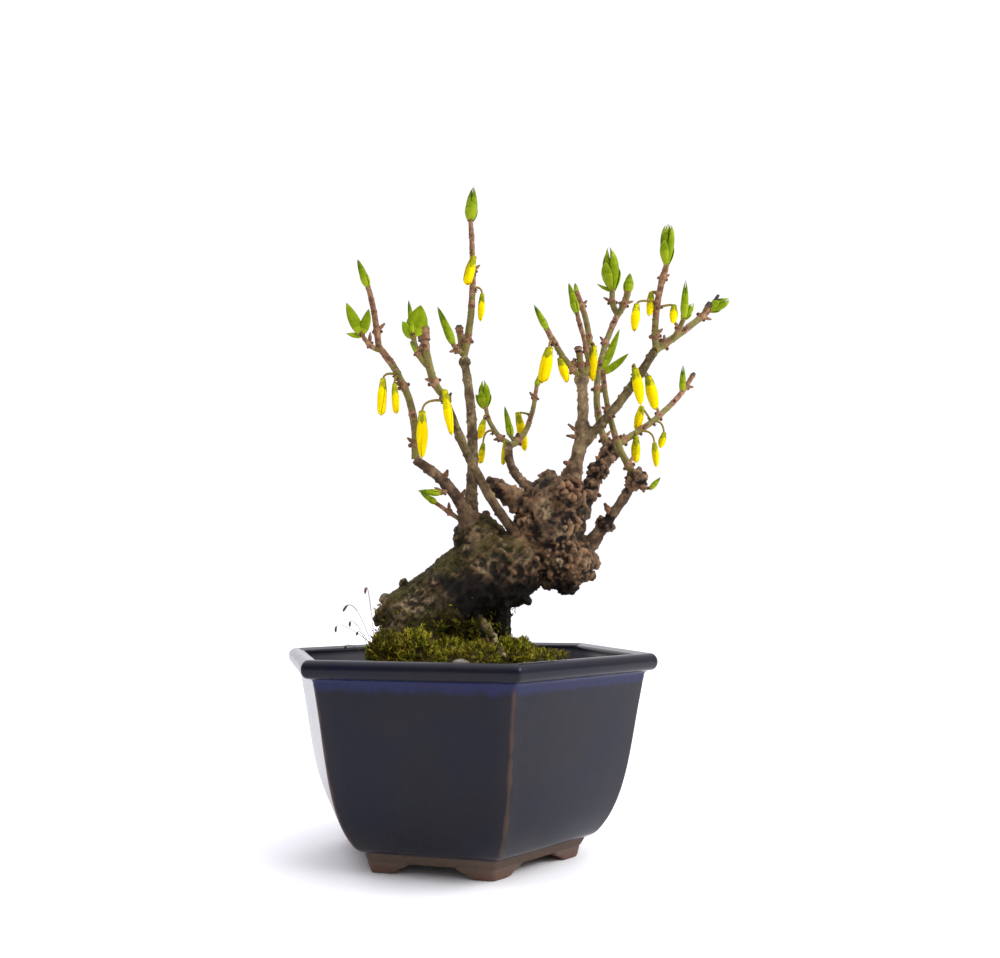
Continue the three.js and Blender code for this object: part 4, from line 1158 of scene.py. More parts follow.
# %% Bark tones and the finished wood
def bark_look():
    look = Look("forsythia bark")
    places = look.places()
    height = look.kept("relief")
    brown, tan, olive = look.kept("brown"), look.kept("tan"), look.kept("olive")
    mossy, painted_shade_and_damp = look.kept("mossy"), look.kept("painted_shade_and_damp")
    pale, red, fibres = look.kept("pale"), look.kept("red"), look.kept("fibres")
    patches = look.noise(places, 4.5, 4.0, 0.6)
    clouds = look.noise(places, 13.0, 2.0)
    speckle = look.noise(places, 0.8, 5.0, 0.7)
    fine = look.noise(places, 0.25, 3.0, 0.7)
    old = look.mix(look.rise(patches, 0.35, 0.65), (0.011, 0.0065, 0.004), (0.185, 0.108, 0.056))
    old = look.mix(look.rise(clouds, 0.45, 0.62) * 0.5, old, (0.06, 0.032, 0.02))
    old = look.mix(look.rise(look.noise(places, 2.6, 3.0), 0.5, 0.68) * 0.6, old, (0.25, 0.12, 0.058))
    old = look.mix(look.rise(speckle, 0.54, 0.74) * 0.5, old, (0.26, 0.18, 0.12))
    old = look.mix(look.rise(look.noise(places, 8.0, 3.0), 0.45, 0.7) * 0.5, old, (0.13, 0.1, 0.06))
    middle = look.mix(look.rise(patches, 0.35, 0.65), (0.06, 0.033, 0.018), (0.21, 0.125, 0.072))
    new = look.mix(look.rise(patches, 0.35, 0.62), (0.13, 0.077, 0.04), (0.46, 0.315, 0.18))
    green = look.mix(look.rise(patches, 0.35, 0.65), (0.1, 0.09, 0.025), (0.24, 0.2, 0.07))
    tone = look.mix(brown, old, look.mix(tan, middle, new))
    tone = look.mix(olive * look.rise(patches + clouds * 0.5, 0.5, 0.85), tone, green)
    tone = look.mix(brown * look.rise(speckle, 0.52, 0.7) * 0.65, tone, (0.06, 0.034, 0.02))
    tone = look.mix(look.rise(fibres, 0.56, 0.8) * 0.4, tone, (0.22, 0.16, 0.09))
    tone = look.mix(look.rise(fibres, 0.44, 0.2) * 0.6, tone, (0.02, 0.014, 0.009))
    tone = look.mix(pale * look.rise(speckle + patches * 0.4, 0.44, 0.8), tone, (0.42, 0.31, 0.18))
    tone = look.mix(red * look.rise(speckle + patches * 0.3, 0.4, 0.85), tone, (0.16, 0.068, 0.032))
    # Painted shade in the cracks, and a painted highlight on the raised tops.
    tone = look.mix(look.rise(height, 0.62, 0.32) * 0.95, tone, (0.008, 0.005, 0.004))
    tone = look.mix(look.rise(height, 0.64, 0.95) * 0.6, tone, (0.37, 0.215, 0.115))
    moss = look.mix(look.rise(speckle, 0.35, 0.7), (0.012, 0.013, 0.002), (0.085, 0.078, 0.01))
    tone = look.mix(mossy * look.rise(patches + speckle * 0.6, 0.52, 0.95), tone, moss)
    # Painted shade on undersides, and painted shadow over damp dark bark in the hollow, turn the bark nearly
    # black.
    tone = look.mix(painted_shade_and_damp * 0.93, tone, (0.006, 0.0055, 0.005))
    flecks = look.rise(look.cells(places, 3.4), 0.1, 0.05) * painted_shade_and_damp
    tone = look.mix(flecks * 0.7, tone, (0.2, 0.18, 0.15))
    relief = look.bump(speckle, 0.6)
    relief = look.bump(fine, 0.14, relief)
    dull = 0.62 + speckle * 0.3
    return look.finish(Base_Color=tone, Roughness=dull, Normal=relief, Specular_IOR_Level=0.14)


wood = Heap()
low_front = 1 - soft_step(carved[:, 2], 72, 90)
facing_up = soft_step(skin_normals[:, 2], -0.1, 0.75)
mossy = np.clip(0.1 + low_front + 0.75 * facing_up, 0, 1) * on_log * (1 - 0.8 * pale)
painted_underside_shade = soft_step(-skin_normals[:, 2], 0.1, 0.9)  # painted shade: darker where the wood faces down
level_relief = np.clip(0.5 + (relief - np.median(relief)) / 2.2, 0, 1)
wood.add(
    carved, skin_faces, fibres=np.clip(0.5 + 0.5 * grain * on_log, 0, 1), relief=level_relief,
    brown=on_bough * (1 - 0.6 * old_bough), tan=tan_bark * (1 - 0.7 * old_bough), olive=olive_skin,
    mossy=mossy, painted_shade_and_damp=np.maximum(hollow, 0.4 * painted_underside_shade), pale=pale, red=red,
)
wood.piece("bark", [bark_look()], "bark", ["trunk", *BOUGHS])

# %% [markdown]
# The soil fills the pot to a finger's breadth below the lip and rises to a mound that the tree
# stands on, as growers raise an old stump to show its roots. Its body is a closed stack of rings
# again: up inside the wall, and over the top in rings that shrink to the middle. Bonsai soil is
# baked clay grit and bark, so grains of several sizes are strewn over it, half sunk.

# %% Soil and its grit
SOIL_EDGE, SOIL_BOTTOM, SOIL_GAP = 55.0, 11.4, 0.32
MOUND = [(0, 63.4), (24.5, 63.4), (32, 60), (35.6, 56.2), (38.5, 55)]  # how far out, and how high
SOIL_ROWS, SOIL_SIDE_STEPS = 50, 50
GRAIN_COUNT, GRAIN_SIZE, GRAIN_REACH, GRAIN_SEED = 1100, (0.45, 1.35), 47.5, 7


def soil_height(places):
    """The mound's height over places, of which only x and y count, with a slow swell."""
    level = np.interp(np.linalg.norm(places[:, :2], axis=1), *np.array(MOUND).T)
    return level - 0.35 + 0.35 * rough_noise(at_level(places[:, :2], 0.0), 7.0, seed=91)


def soil_outline(radius):
    return hexagon_ring(radius, side_steps=SOIL_SIDE_STEPS)[0]


def soil_body():
    wall = smooth_curve(WALL_CURVE, 6) - (WALL + SOIL_GAP, 0)
    wall = wall[(wall[:, 1] > FLOOR_TOP + 2) & (wall[:, 1] < SOIL_EDGE - 1.5)]
    foot = (wall[0][0] - 4, SOIL_BOTTOM)
    rings = [at_level(soil_outline(radius), level) for radius, level in [foot, *wall]]
    edge = soil_outline(wall[-1][0] + 0.2)
    reach = np.linalg.norm(edge, axis=1, keepdims=True)
    for share in np.linspace(1, 0.02, SOIL_ROWS):
        roundness = 1 - share ** 3
        there = share * (edge * (1 - roundness) + edge / reach * reach.mean() * roundness)
        rings.append(at_level(there, soil_height(there)))
    heap = Heap()
    heap.add(*capped(np.concatenate(rings), len(rings), len(edge)))
    return heap


def add_grains(heap):
    """Strews grains over the soil, even by area."""
    random = np.random.default_rng(GRAIN_SEED)
    out = GRAIN_REACH * np.sqrt(random.random(GRAIN_COUNT))
    turn = random.random(GRAIN_COUNT) * 2 * math.pi
    spots = np.column_stack([out * np.cos(turn), out * np.sin(turn)])
    for (x, y), level in zip(spots, soil_height(spots)):
        size = between(GRAIN_SIZE, random.random() ** 2)
        half = size * random.uniform(0.65, 1.25, 3)
        spin, _ = np.linalg.qr(random.normal(size=(3, 3)))
        lumpy = 1 + 0.16 * random.normal(size=(len(SMALL_BALL[0]), 1))
        shape = (SMALL_BALL[0] * lumpy * half) @ spin
        heap.add(shape + (x, y, level + 0.25 * size), SMALL_BALL[1], 1 + int(random.integers(4)))


def grit_look(name, tone, other, size=1.2):
    look = Look(name)
    places = look.places()
    patches = look.noise(places, size, 5.0, 0.65)
    pores = look.rise(look.cells(places, 0.45), 0.25, 0.05)
    blend = look.mix(look.rise(patches, 0.35, 0.65), tone, other)
    blend = look.mix(pores * 0.5, blend, shade(tone, 0.3))
    relief = look.bump(patches - pores * 0.5, 0.3)
    return look.finish(Base_Color=blend, Roughness=0.85 + 0.15 * patches, Normal=relief)


grit_looks = [
    grit_look("dark moist soil", (0.022, 0.015, 0.01), (0.06, 0.04, 0.026), 2.4),
    grit_look("brown baked clay", (0.14, 0.075, 0.04), (0.2, 0.12, 0.07)),
    grit_look("dark bark crumb", (0.03, 0.018, 0.012), (0.07, 0.042, 0.027)),
    grit_look("grey pumice", (0.16, 0.145, 0.125), (0.25, 0.23, 0.2)),
    grit_look("tan grit", (0.2, 0.14, 0.08), (0.28, 0.2, 0.13)),
]
PEBBLE_PLACE, PEBBLE_HALF = (-0.9, -28.5, 63.4), (3.2, 2.4, 2.2)  # at the mound's front edge
pebble = BALL[0] * PEBBLE_HALF
pebble = pebble * (1 + 0.07 * rough_noise(pebble, 2.6, seed=131))[:, None] + PEBBLE_PLACE
soil = soil_body()
add_grains(soil)
soil.add(pebble, BALL[1], 3)
soil.piece("soil_surface", grit_looks, "earth", ["soil"])

# %% [markdown]
# Moss grows in cushions of many tiny upright stems, each set with pointed leaves. A cushion is a
# dark base, remeshed from the model's own lumps, and the stems stand on it where its surface looks
# up or out. A thinner growth climbs the foot of the log. A moss leaf is a millimetre or two
# long, so six triangles are enough: a slim closed spike with a keel. The leaves of one tint that
# stand equally high on their stems are worked out in a single sum over arrays.

# %% Lay the cushions
MOUND_TOP = 63.6
MOSS = {  # the arc in degrees, how far out, how high, and the seed of its draws
    "moss_left": ((150, 236), (18, 31), (6, 11), 3),
    "moss_front": ((242, 296), (12, 27), (3, 8), 4),
    "moss_right": ((306, 394), (21, 31), (4, 8.5), 5),
    "moss_back": ((404, 496), (20, 31), (4, 8), 6),
}
MOSS_LUMPS, MOSS_WIDE, GOLDEN = 5, (6.2, 8), 0.618034
MOSS_VOXEL = 0.6
BARE_FROM = (20, 26)  # how far to the right the cushions begin to thin out, and are thin


def cushion(name):
    (start, end), out, height, seed = MOSS[name]
    draw = draws(seed)
    heap = Heap()
    for index in range(MOSS_LUMPS):
        turn = math.radians(start + (index + 0.5) / MOSS_LUMPS * (end - start))
        reach = between(out, index * GOLDEN % 1)
        tall = between(height, next(draw))
        wide, deep = between(MOSS_WIDE, next(draw)), between(MOSS_WIDE, next(draw))
        centre = (reach * math.cos(turn), reach * math.sin(turn), MOUND_TOP - 1)
        add_ball(heap, centre, np.array([wide, deep, tall + 1]) - 0.9)
    places, faces = remeshed(object_of(heap, name), MOSS_VOXEL)
    places = smoothed(places, faces, 3)
    normals = normals_of(places, faces)
    places = places + normals * (0.7 * rough_noise(places, 4.0, seed=101) - 0.3)[:, None]
    bare = 0.8 * soft_step(places[:, 0] - 0.056 * places[:, 1], *BARE_FROM)
    places[:, 2] -= bare * np.maximum(places[:, 2] - MOUND_TOP, 0)
    return places, faces, normals, 1 - bare


cushions = {name: cushion(name) for name in MOSS}
print("points on the cushions:", {name: len(rows[0]) for name, rows in cushions.items()})

# %% Set the moss leaves
MOSS_STEMS, STEM_LEAVES = 4700, 7
STEM_HEIGHT, MOSS_LEAF = (0.9, 2.3), (0.8, 1.6)
TALLER = {"moss_left": 1.35, "moss_front": 0.9, "moss_right": 1.0, "moss_back": 0.9}
LOG_STEMS, LOG_SCALE = 1200, 0.75
SPIKE_FACES = [(0, 1, 2), (0, 3, 1), (0, 2, 3), (4, 2, 1), (4, 1, 3), (4, 3, 2)]


def spikes(heap, bases, ways, sides, lengths, kind):
    """Slim closed spikes, all at once: the foot, two edge points, the keel and the tip of each."""
    width = (0.16 * lengths)[:, None]
    keel = np.cross(ways, sides) * width * 0.7
    tips = bases + ways * lengths[:, None]
    middle = bases + ways * (0.35 * lengths)[:, None]
    places = np.stack([bases, middle + sides * width, middle - sides * width, middle + keel, tips], axis=1)
    start = np.arange(len(bases))[:, None] * places.shape[1]
    faces = np.concatenate([start + np.array(row) for row in SPIKE_FACES])
    heap.add(places.reshape(-1, 3), faces, kind)


def stems_on(heap, places, normals, weights, count, seed, scale):
    """Chooses places by weight and sets a stem of leaves on each, in three tints."""
    random = np.random.default_rng(seed)
    chosen = random.choice(len(places), count, p=weights / weights.sum())
    feet = places[chosen] + random.normal(size=(count, 3)) * 0.2
    ways = unit(normals[chosen] * 0.6 + (0, 0, 0.55) + random.normal(size=(count, 3)) * 0.25)
    tall = between(STEM_HEIGHT, random.random(count)) * scale
    brightness = random.random(count) + 0.5 * rough_noise(feet, 9.0, seed=seed)
    tint = np.select([brightness < 0.34, brightness < 0.7], [3, 1], 2)
    for index in range(STEM_LEAVES):
        share = (index + 0.6) / STEM_LEAVES
        outward = unit(np.cross(ways, random.normal(size=(count, 3))))
        leaf_ways = unit(ways + outward * between((1.1, 0.25), share))
        sides = unit(np.cross(leaf_ways, outward))
        lengths = between(MOSS_LEAF, random.random(count)) * scale
        bases = feet + ways * (tall * share)[:, None]
        for kind in (1, 2, 3):
            own = tint == kind
            spikes(heap, bases[own], leaf_ways[own], sides[own], lengths[own], kind)


moss_in_front, moss_behind = Heap(), Heap()
in_all = sum(len(rows[0]) for rows in cushions.values())
for number, (name, (places, faces, normals, thriving)) in enumerate(cushions.items()):
    moss = moss_in_front if name in ("moss_left", "moss_front") else moss_behind
    moss.add(places, faces)
    weights = soft_step(normals[:, 2], -0.35, 0.2) * (places[:, 2] > soil_height(places) - 0.5) * thriving
    count = int(MOSS_STEMS * len(places) / in_all)
    stems_on(moss, places, normals, weights, count, 21 + number, TALLER[name])
patchy = soft_step(noise(carved, 6.0, seed=111) + noise(carved, 2.0, seed=112), -0.1, 0.5)
on_foot = on_log * patchy * (1 - soft_step(carved[:, 2], 70, 84)) * (1 - pale) * (carved[:, 2] > CUT)
stems_on(moss_behind, carved, skin_normals, on_foot, LOG_STEMS, 31, LOG_SCALE)


def moss_look(name, tone, other):
    look = Look(name)
    places = look.places()
    patches = look.noise(places, 6.0, 3.0)
    fine = look.noise(places, 0.8, 3.0)
    blend = look.mix(look.rise(patches, 0.35, 0.65), tone, other)
    relief = look.bump(fine, 0.2)
    return look.finish(Base_Color=blend, Roughness=0.6 + 0.3 * fine, Normal=relief, Specular_IOR_Level=0.12)


moss_looks = [
    moss_look("moss in its own shade", (0.02, 0.018, 0.004), (0.05, 0.042, 0.01)),
    moss_look("moss leaf", (0.07, 0.082, 0.002), (0.12, 0.105, 0.004)),
    moss_look("moss tip", (0.26, 0.27, 0.01), (0.4, 0.34, 0.03)),
    moss_look("moss of last year", (0.08, 0.055, 0.008), (0.13, 0.09, 0.012)),
]
moss_in_front.piece("moss_in_front", moss_looks, "moss", ["moss_left", "moss_front"])
moss_behind.piece("moss_behind", moss_looks, "moss", ["moss_right", "moss_back"])

# %% [markdown]
# A forsythia's twigs, leaves and blossom follow one plan. Along a twig stand nodes, swollen places
# with a pair of buds, and each pair is a quarter turn from the last. A mass of twigs grows from
# its stem: each other twig leaves a twig that is named before it. These are the model's own
# masses, and the finer twigs, leaves and petals below grow from the same places and reach as far.

# %% The masses of twigs and their blossom
# A twig's row: its host, where along the host it leaves (or the place itself, where it has no
# host), its end, its bow and its two radii.
# A blossom's row: its twig, the place along it, where from there its stalk ends, how far it leans
# to the right as it hangs, its length and its width, and how green it still is, from 0 to 1.
MASSES = {
    "left_outer_spray": {
        "stem": ("stub_bough", 1, (-29, -23, 168.5), (4, 0, 1.5), (1.6, 1.35)),
        "rise": ("stem", 1, (-33, -25, 189.5), (0.5, 0, 1), (1.3, 1)),
        "side": ("stem", 0.97, (-34.5, -27, 172), (0, 0, -1.5), (1.1, 0.8)),
    },
    "tall_spray": {
        "stem": ("tall_bough", 1, (2, 1, 223.5), (1.8, 0.5, -4), (1.7, 1)),
        "side": ("stem", 0.03, (-4.5, 2, 177), (-0.5, 0, -0.8), (1.3, 1.1)),
        "stub": ("stem", 0.02, (-2, 10, 183), (0, 0.5, -0.5), (1.6, 1.5)),
    },
    "slanting_spray": {
        "stem": ("slanting_bough", 1, (-14, -28, 174), (-0.8, -0.5, -4), (1.6, 1.8)),
        "side": ("stem", 0.45, (-17, -30, 171), (-1.2, 0.5, -0.5), (1.3, 1)),
    },
    "curved_spray": {
        "stem": ("curved_bough", 1, (28, 26, 166.5), (1.5, 1, -4.6), (1.5, 1)),
        "left": ("stem", 0.04, (8, 28, 158.5), (-1.5, 0, -2), (1.3, 1)),
        "short": ("stem", 0.1, (16, 20, 151), (-0.5, 0.6, 0.5), (0.9, 0.8)),
    },
    "main_spray": {
        "stem": ("main_bough", 1, (42, 10, 199), (4, 0, -4), (1.7, 1.2)),
        "left": ("stem", 0.02, (28, -18, 177), (-0.2, 0, -1.8), (1.5, 1.2)),
        "stub": ("stem", 0.03, (40, -10, 171), (0, 0, 0), (1.4, 1.4)),
        "thin": ("stem", 0.2, (40, -5, 187), (0, 0, 1.5), (1.1, 0.9)),
    },
    "high_leaf_spray": {
        "stem": ("gnarled_bough", 0.9, (62, 36, 198.5), (-7, -2, -3), (1.6, 1.4)),
        "left": ("stem", 0.99, (60.5, 40, 210), (-1, 0, -0.5), (1.5, 1.3)),
        "right": ("stem", 0.98, (65.5, 33, 207), (0.5, -0.5, -0.5), (1.5, 1.6)),
    },
    "right_spray": {
        "stem": ("gnarled_bough", 1, (91, 36, 172), (3.4, 1, -0.8), (1.6, 1.1)),
    },
    "long_spray": {
        "stem": ("long_bough", 1, (88.5, -5, 188), (0.4, 0, -0.4), (1.7, 1.3)),
        "rise": ("stem", 0.03, (68.5, -26, 197.5), (-1.6, 0.5, -1), (1.5, 1.2)),
        "side": ("stem", 0.3, (75, -22, 180.5), (0.4, -0.5, -0.3), (1.2, 1)),
    },
    "low_spray": {
        "stem": ("low_bough", 1, (50.4, 2, 167), (-2.4, -1.5, -3), (1.6, 1)),
    },
    "slanting_blossom": {
        "stem": ("slanting_bough", 0.93, (-6.2, -24.5, 151.6), (0, 0, 0), (1, 0.9)),
    },
    "long_bough_blossom": {
        "stem": ("long_bough", 0.7, (58.4, -14.6, 164.6), (0, 0, 0.4), (0.9, 0.7)),
    },
    "low_shoot": {
        "stem": ("low_bough", 0.95, (64.6, -12, 122.4), (0.4, 0, -0.8), (0.9, 0.7)),
    },
    "stub_shoot": {
        "stem": ("stub_bough", 0.52, (-9, -15, 120), (-0.5, 0, -0.8), (0.9, 0.7)),
    },
    "foot_shoot": {
        "stem": (None, (-0.5, -3, 111), (-10.5, -9, 117.6), (0, -0.5, 0), (1, 0.8)),
    },
}
BLOSSOMS = {
    "left_outer_spray": [
        ("stem", 0.72, (-5, -1.2, -2), -0.03, 12.5, 3.3, 0.1),
        ("stem", 0.7, (-1.5, -2, -3.2), 0.06, 10, 2.6, 0.4),
    ],
    "tall_spray": [
        ("stem", 0.74, (0.4, -2.6, -2), -0.25, 11, 3.8, 0.5),
        ("stem", 0.5, (3.6, 0, -2.6), -0.08, 10.3, 2.8, 0.3),
    ],
    "slanting_blossom": [
        ("stem", 0.5, (-8.3, -1, -4.1), 0, 15.8, 3.9, 0.08),
        ("stem", 1, (-0.4, -2.5, 1), 0.16, 15.6, 3.3, 0.25),
    ],
    "curved_spray": [
        ("left", 0.79, (-1.6, -1.2, -2.2), -0.27, 7.4, 3.1, 0.45),
        ("left", 0.45, (-4.4, 0, -5.4), -0.18, 7.5, 2.8, 0.5),
        ("left", 0.19, (0.6, -1.5, -1.2), -0.09, 8.8, 2.2, 1),
        ("stem", 0.6, (-5, 3, 1), 0.19, 15.1, 3.7, 0.2),
    ],
    "main_spray": [
        ("left", 0.77, (-1.8, -2, -3), -0.22, 12.8, 4.5, 0.12),
        ("left", 0.65, (1, 2.5, -3.2), 0.29, 8.8, 3.4, 0.2),
        ("stem", 0.41, (1.2, -3, -1.6), -0.09, 13.2, 3.4, 0.25),
    ],
    "long_bough_blossom": [
        ("stem", 0.98, (0.3, -2, -1.6), 0.15, 13, 3.9, 0.12),
        ("long_bough", 0.78, (3, 1, -1), 0.22, 12.2, 4.2, 0.2),
    ],
    "right_spray": [
        ("stem", 0.41, (-4.1, -1, 5.4), -0.2, 9.3, 3.6, 0.5),
        ("stem", 0.22, (0, -2, -2), -0.04, 10, 3.6, 0.6),
        ("stem", 0.25, (6, -1.4, -5), 0.07, 9, 3, 0.4),
        ("stem", 0.41, (4.5, -1, -4.8), -0.28, 6, 3, 0.5),
    ],
    "long_spray": [
        ("rise", 0.55, (-7.5, -1, -1.4), -0.1, 9.4, 3.4, 0.2),
        ("rise", 0.66, (-2.4, 2, 0.4), -0.1, 8.2, 2.9, 0.5),
        ("rise", 0.49, (5.7, -1, 0.2), -0.08, 6.4, 3, 0.25),
    ],
}
NODE_SPACING = 11.5
BUD_LENGTH, BUD_LEAN = (1.8, 3.8), 0.8
ROOT_SINK = 0.8
STALK_ARCH = 1.2
SEED = 41


def mass_curves(name):
    """The centre lines of one mass's twigs, as the model lays them."""
    curves = {}
    for twig, (host, at, end, bow, _) in MASSES[name].items():
        start = at if host is None else {**bough_curves, **curves}[host].at(at)
        curves[twig] = Bow(start, end, bow)
    return curves


def node_shares(curve):
    count = max(1, round(curve.length / NODE_SPACING))
    return (np.arange(count) + 0.5) / count


twig_curves = {name: mass_curves(name) for name in MASSES}
print("twigs:", sum(len(curves) for curves in twig_curves.values()))

# %% [markdown]
# A young forsythia twig is four-cornered and olive brown, and set with corky dots. It swells at
# each node, most across the two buds, and under each bud a dark scar shows where last year's
# leaf fell off. A twig is a tube with a ring every half millimetre, so that the swellings, the
# dots and the corners are all real shape. The scars and the bud scales are small shapes of their
# own, gathered in the same heap with a darker material.

# %% Grow the twigs
TWIG_RING, TWIG_SIDES = 0.5, 14
TWIG_SLIMMER = 0.8
OLIVE, GREY, SCAR, RUSSET, DEAD = range(5)
THIN_TWIG, THICK_TWIG = 1.15, 1.75  # radii below which a twig is russet early, and from which grey
SCALE_RIM = [  # round a scale: places across it, and how deep they lie
    (-1, 0), (-0.5, 0), (0, 0), (0.5, 0), (1, 0), (0.5, 0.1), (0, 0.1), (-0.5, 0.1),
]


def node_frame(curve, share, index):
    """The direction along a twig at a node, and that of its pair of buds, as in the model."""
    along = curve.way(share)
    level = unit(np.cross(along, (0, 1, 0)))
    return along, level if index % 2 == 0 else np.cross(level, along)


def twig_tube(heap, curve, thick, thin, seed, kind, russet_from):
    """A twig with a ledge at each node. Past russet_from, and round its nodes, its skin is russet."""
    rings = max(6, int(curve.length / TWIG_RING))
    share = np.linspace(0, 1, rings)
    line = curve.at(share)
    gone = share * curve.length
    line = line + 0.16 * np.stack([noise(line, 7.0, seed + axis) for axis in range(3)], axis=1)
    ring = outwards_round(line, TWIG_SIDES)
    base = between((thick, thin), share)[:, None] * TWIG_SLIMMER
    radii = base * (1 + 0.05 * np.cos(4 * spokes(TWIG_SIDES)))
    to_node = np.full(rings, 99.0)
    for index, node in enumerate(node_shares(curve)):
        _, pair = node_frame(curve, node, index)
        facing = np.abs(ring @ pair) ** 2
        away = (gone - node * curve.length)[:, None]
        ledge = np.exp(-(away / 1.1) ** 2) * soft_step(away, 1.5, 0.2)
        radii = radii + base * (0.12 + 0.3 * facing) * ledge
        to_node = np.minimum(to_node, np.abs(away[:, 0]))
    surface = (line[:, None] + ring * radii[..., None]).reshape(-1, 3)
    dots = 1 - soft_step(to_centres(surface, 1.7, seed + 7), 0.1, 0.3)
    old = soft_step(share, russet_from - 0.1, russet_from + 0.2)[:, None]
    wrinkles = 0.1 * old * np.maximum(0, np.sin(gone[:, None] * 4.4 + 2 * noise(line, 1.5, seed)[:, None]))
    radii = (radii + wrinkles).ravel() + 0.2 * dots + 0.1 * rough_noise(surface, 1.2, seed + 9, 2)
    places, faces = tube(line, radii.reshape(rings, TWIG_SIDES), TWIG_SIDES)
    patchy = 0.8 * noise(surface, 1.8, seed + 11).reshape(rings, TWIG_SIDES)[:-1]
    is_russet = (soft_step(to_node, 2.6, 0.6)[:-1, None] + 1.3 * old[:-1] + patchy > 0.62).ravel()
    dotted = (dots.reshape(rings, TWIG_SIDES)[:-1] > 0.5).ravel()
    kinds = np.where(dotted, SCAR, np.where(is_russet, RUSSET, kind))
    heap.add(places, faces, np.concatenate([kinds, np.full(2 * TWIG_SIDES, SCAR)]))


def scale_shape(heap, base, way, outward, length, width, cling=0.9):
    """One small pointed scale that lies against what it grows from."""
    side = unit(np.cross(way, outward))
    rows = []
    for share, half in zip((0.0, 0.35, 0.7, 1.0), (0.5, 0.48, 0.3, 0.02)):
        lift = (0.07 + 0.2 * (1 - cling) * share + 0.14 * math.sin(share * math.pi)) * width
        middle = base + way * share * length + outward * lift
        for v, sink in SCALE_RIM:
            rows.append(middle + (side * v - outward * v * v * 0.55) * half * width - outward * sink * width)
    heap.add(*capped(np.array(rows), 4, len(SCALE_RIM)), SCAR)


def leaf_scars(heap, curve, radius, index, node, chance):
    """The cushions under a node's buds, each with the dark scar of last year's leaf on it."""
    along, pair = node_frame(curve, node, index)
    for side in (1, -1):
        outward = pair * side
        size = radius * between((0.75, 1.05), next(chance))
        axes = np.array([np.cross(along, outward) * 0.6, along * 0.5, outward * 0.42])
        place = curve.at(node) + outward * radius * 1.2
        heap.add(SMALL_BALL[0] @ axes * size + place - along * size * 0.25, SMALL_BALL[1], SCAR)


RUSSET_FROM = {  # the share of a twig's length where its green skin turns to russet bark
    ("tall_spray", "stem"): 0.35, ("slanting_spray", "stem"): 0.75, ("left_outer_spray", "rise"): 0.0,
    ("long_spray", "rise"): 0.3, ("right_spray", "stem"): 0.6, ("main_spray", "stem"): 0.7,
}
twigs = Heap()
chance = draws(SEED)
seed = SEED
for name, curves in twig_curves.items():
    for twig, curve in curves.items():
        thick, thin = MASSES[name][twig][4]
        seed += 13
        russet_from = 0.25 if thick < THIN_TWIG else RUSSET_FROM.get((name, twig), 0.8)
        twig_tube(twigs, curve, thick, thin, seed, GREY if thick >= THICK_TWIG else OLIVE, russet_from)
        for index, node in enumerate(node_shares(curve)):
            leaf_scars(twigs, curve, between((thick, thin), node), index, node, chance)
print("points on the twigs:", twigs.count)

# %% [markdown]
# Leaves break early on this tree: most are still folded round each other in slim green spears,
# and a few have begun to open. A folded leaf is part of a spindle: it wraps round the shoot's axis
# by some angle, and the leaves of the next pair fill the gaps from inside. An open leaf is a
# blade whose midrib bends out from the shoot. Both are closed shapes with a thickness, made by
# the same function from the places of one surface, so they look right from behind too.

# %% Folded and open leaves
LEAF_ROWS = 15
LEAF_ACROSS = np.linspace(-1, 1, 11)  # places across a leaf, from edge to edge
# An open leaf: the angle at its foot, what its midrib adds to that at the tip, how far its halves
# roll up, its thickness, and its widest place, which lies nearer its foot if this is below 1.
LEAN, CURL, CUP, BLADE_THICK, BROAD = -0.1, 0.35, 0.6, 0.2, 0.85
GREEN, LIME, DARK_GREEN = range(3)


def sheet_of(heap, middle, out, thick, kinds, seam=None):
    """Gives a surface of rows and columns a thickness: out points away from its inner side. kinds
    is one number, or one for each row, and seam is the number for its two long edges."""
    rows, columns = middle.shape[:2]
    across = np.linspace(-1, 1, columns)
    depth = (thick * np.sqrt(np.maximum(1 - across ** 2, 0.0)))[None, 1:-1, None]
    inner = (middle[:, 1:-1] - out[:, 1:-1] * depth)[:, ::-1]
    places, faces = capped(np.concatenate([middle, inner], axis=1).reshape(-1, 3), rows, 2 * columns - 2)
    kinds = np.broadcast_to(kinds, rows - 1)
    grid = np.repeat(kinds[:, None], 2 * columns - 2, axis=1)
    if seam is not None:
        grid[:, [0, columns - 2, columns - 1, -1]] = seam
    heap.add(places, faces, np.concatenate([grid.ravel(), np.full(4 * columns - 4, kinds[-1])]))


def folded(heap, base, axis, outward, length, half, wrap, kinds, tip, twist=0.0, thick=0.14, seam=None):
    """A leaf or petal wrapped round its axis. half is its distance from the axis at each share of
    its length, and wrap how far round it reaches, in radians each way. tip narrows its end."""
    side = np.cross(axis, outward)
    share = np.linspace(0, 1, LEAF_ROWS)
    narrow = np.clip(np.sin(math.pi * np.clip(share * 0.94 + 0.06, 0, 1) ** 0.8), 0, 1) ** (0.5 * tip)
    turns = LEAF_ACROSS * (wrap * narrow)[:, None]
    edge_in = 1 - 0.12 * LEAF_ACROSS ** 2
    crease = 1 - 0.05 * np.exp(-(turns / 0.22) ** 2)
    angle = turns + twist * share[:, None]
    out = np.cos(angle)[..., None] * outward + np.sin(angle)[..., None] * side
    away = half(share)[:, None] * edge_in * crease + 0.03
    middle = base + axis * (share * length)[:, None, None] + out * away[..., None]
    sheet_of(heap, middle, out, thick, kinds, seam)


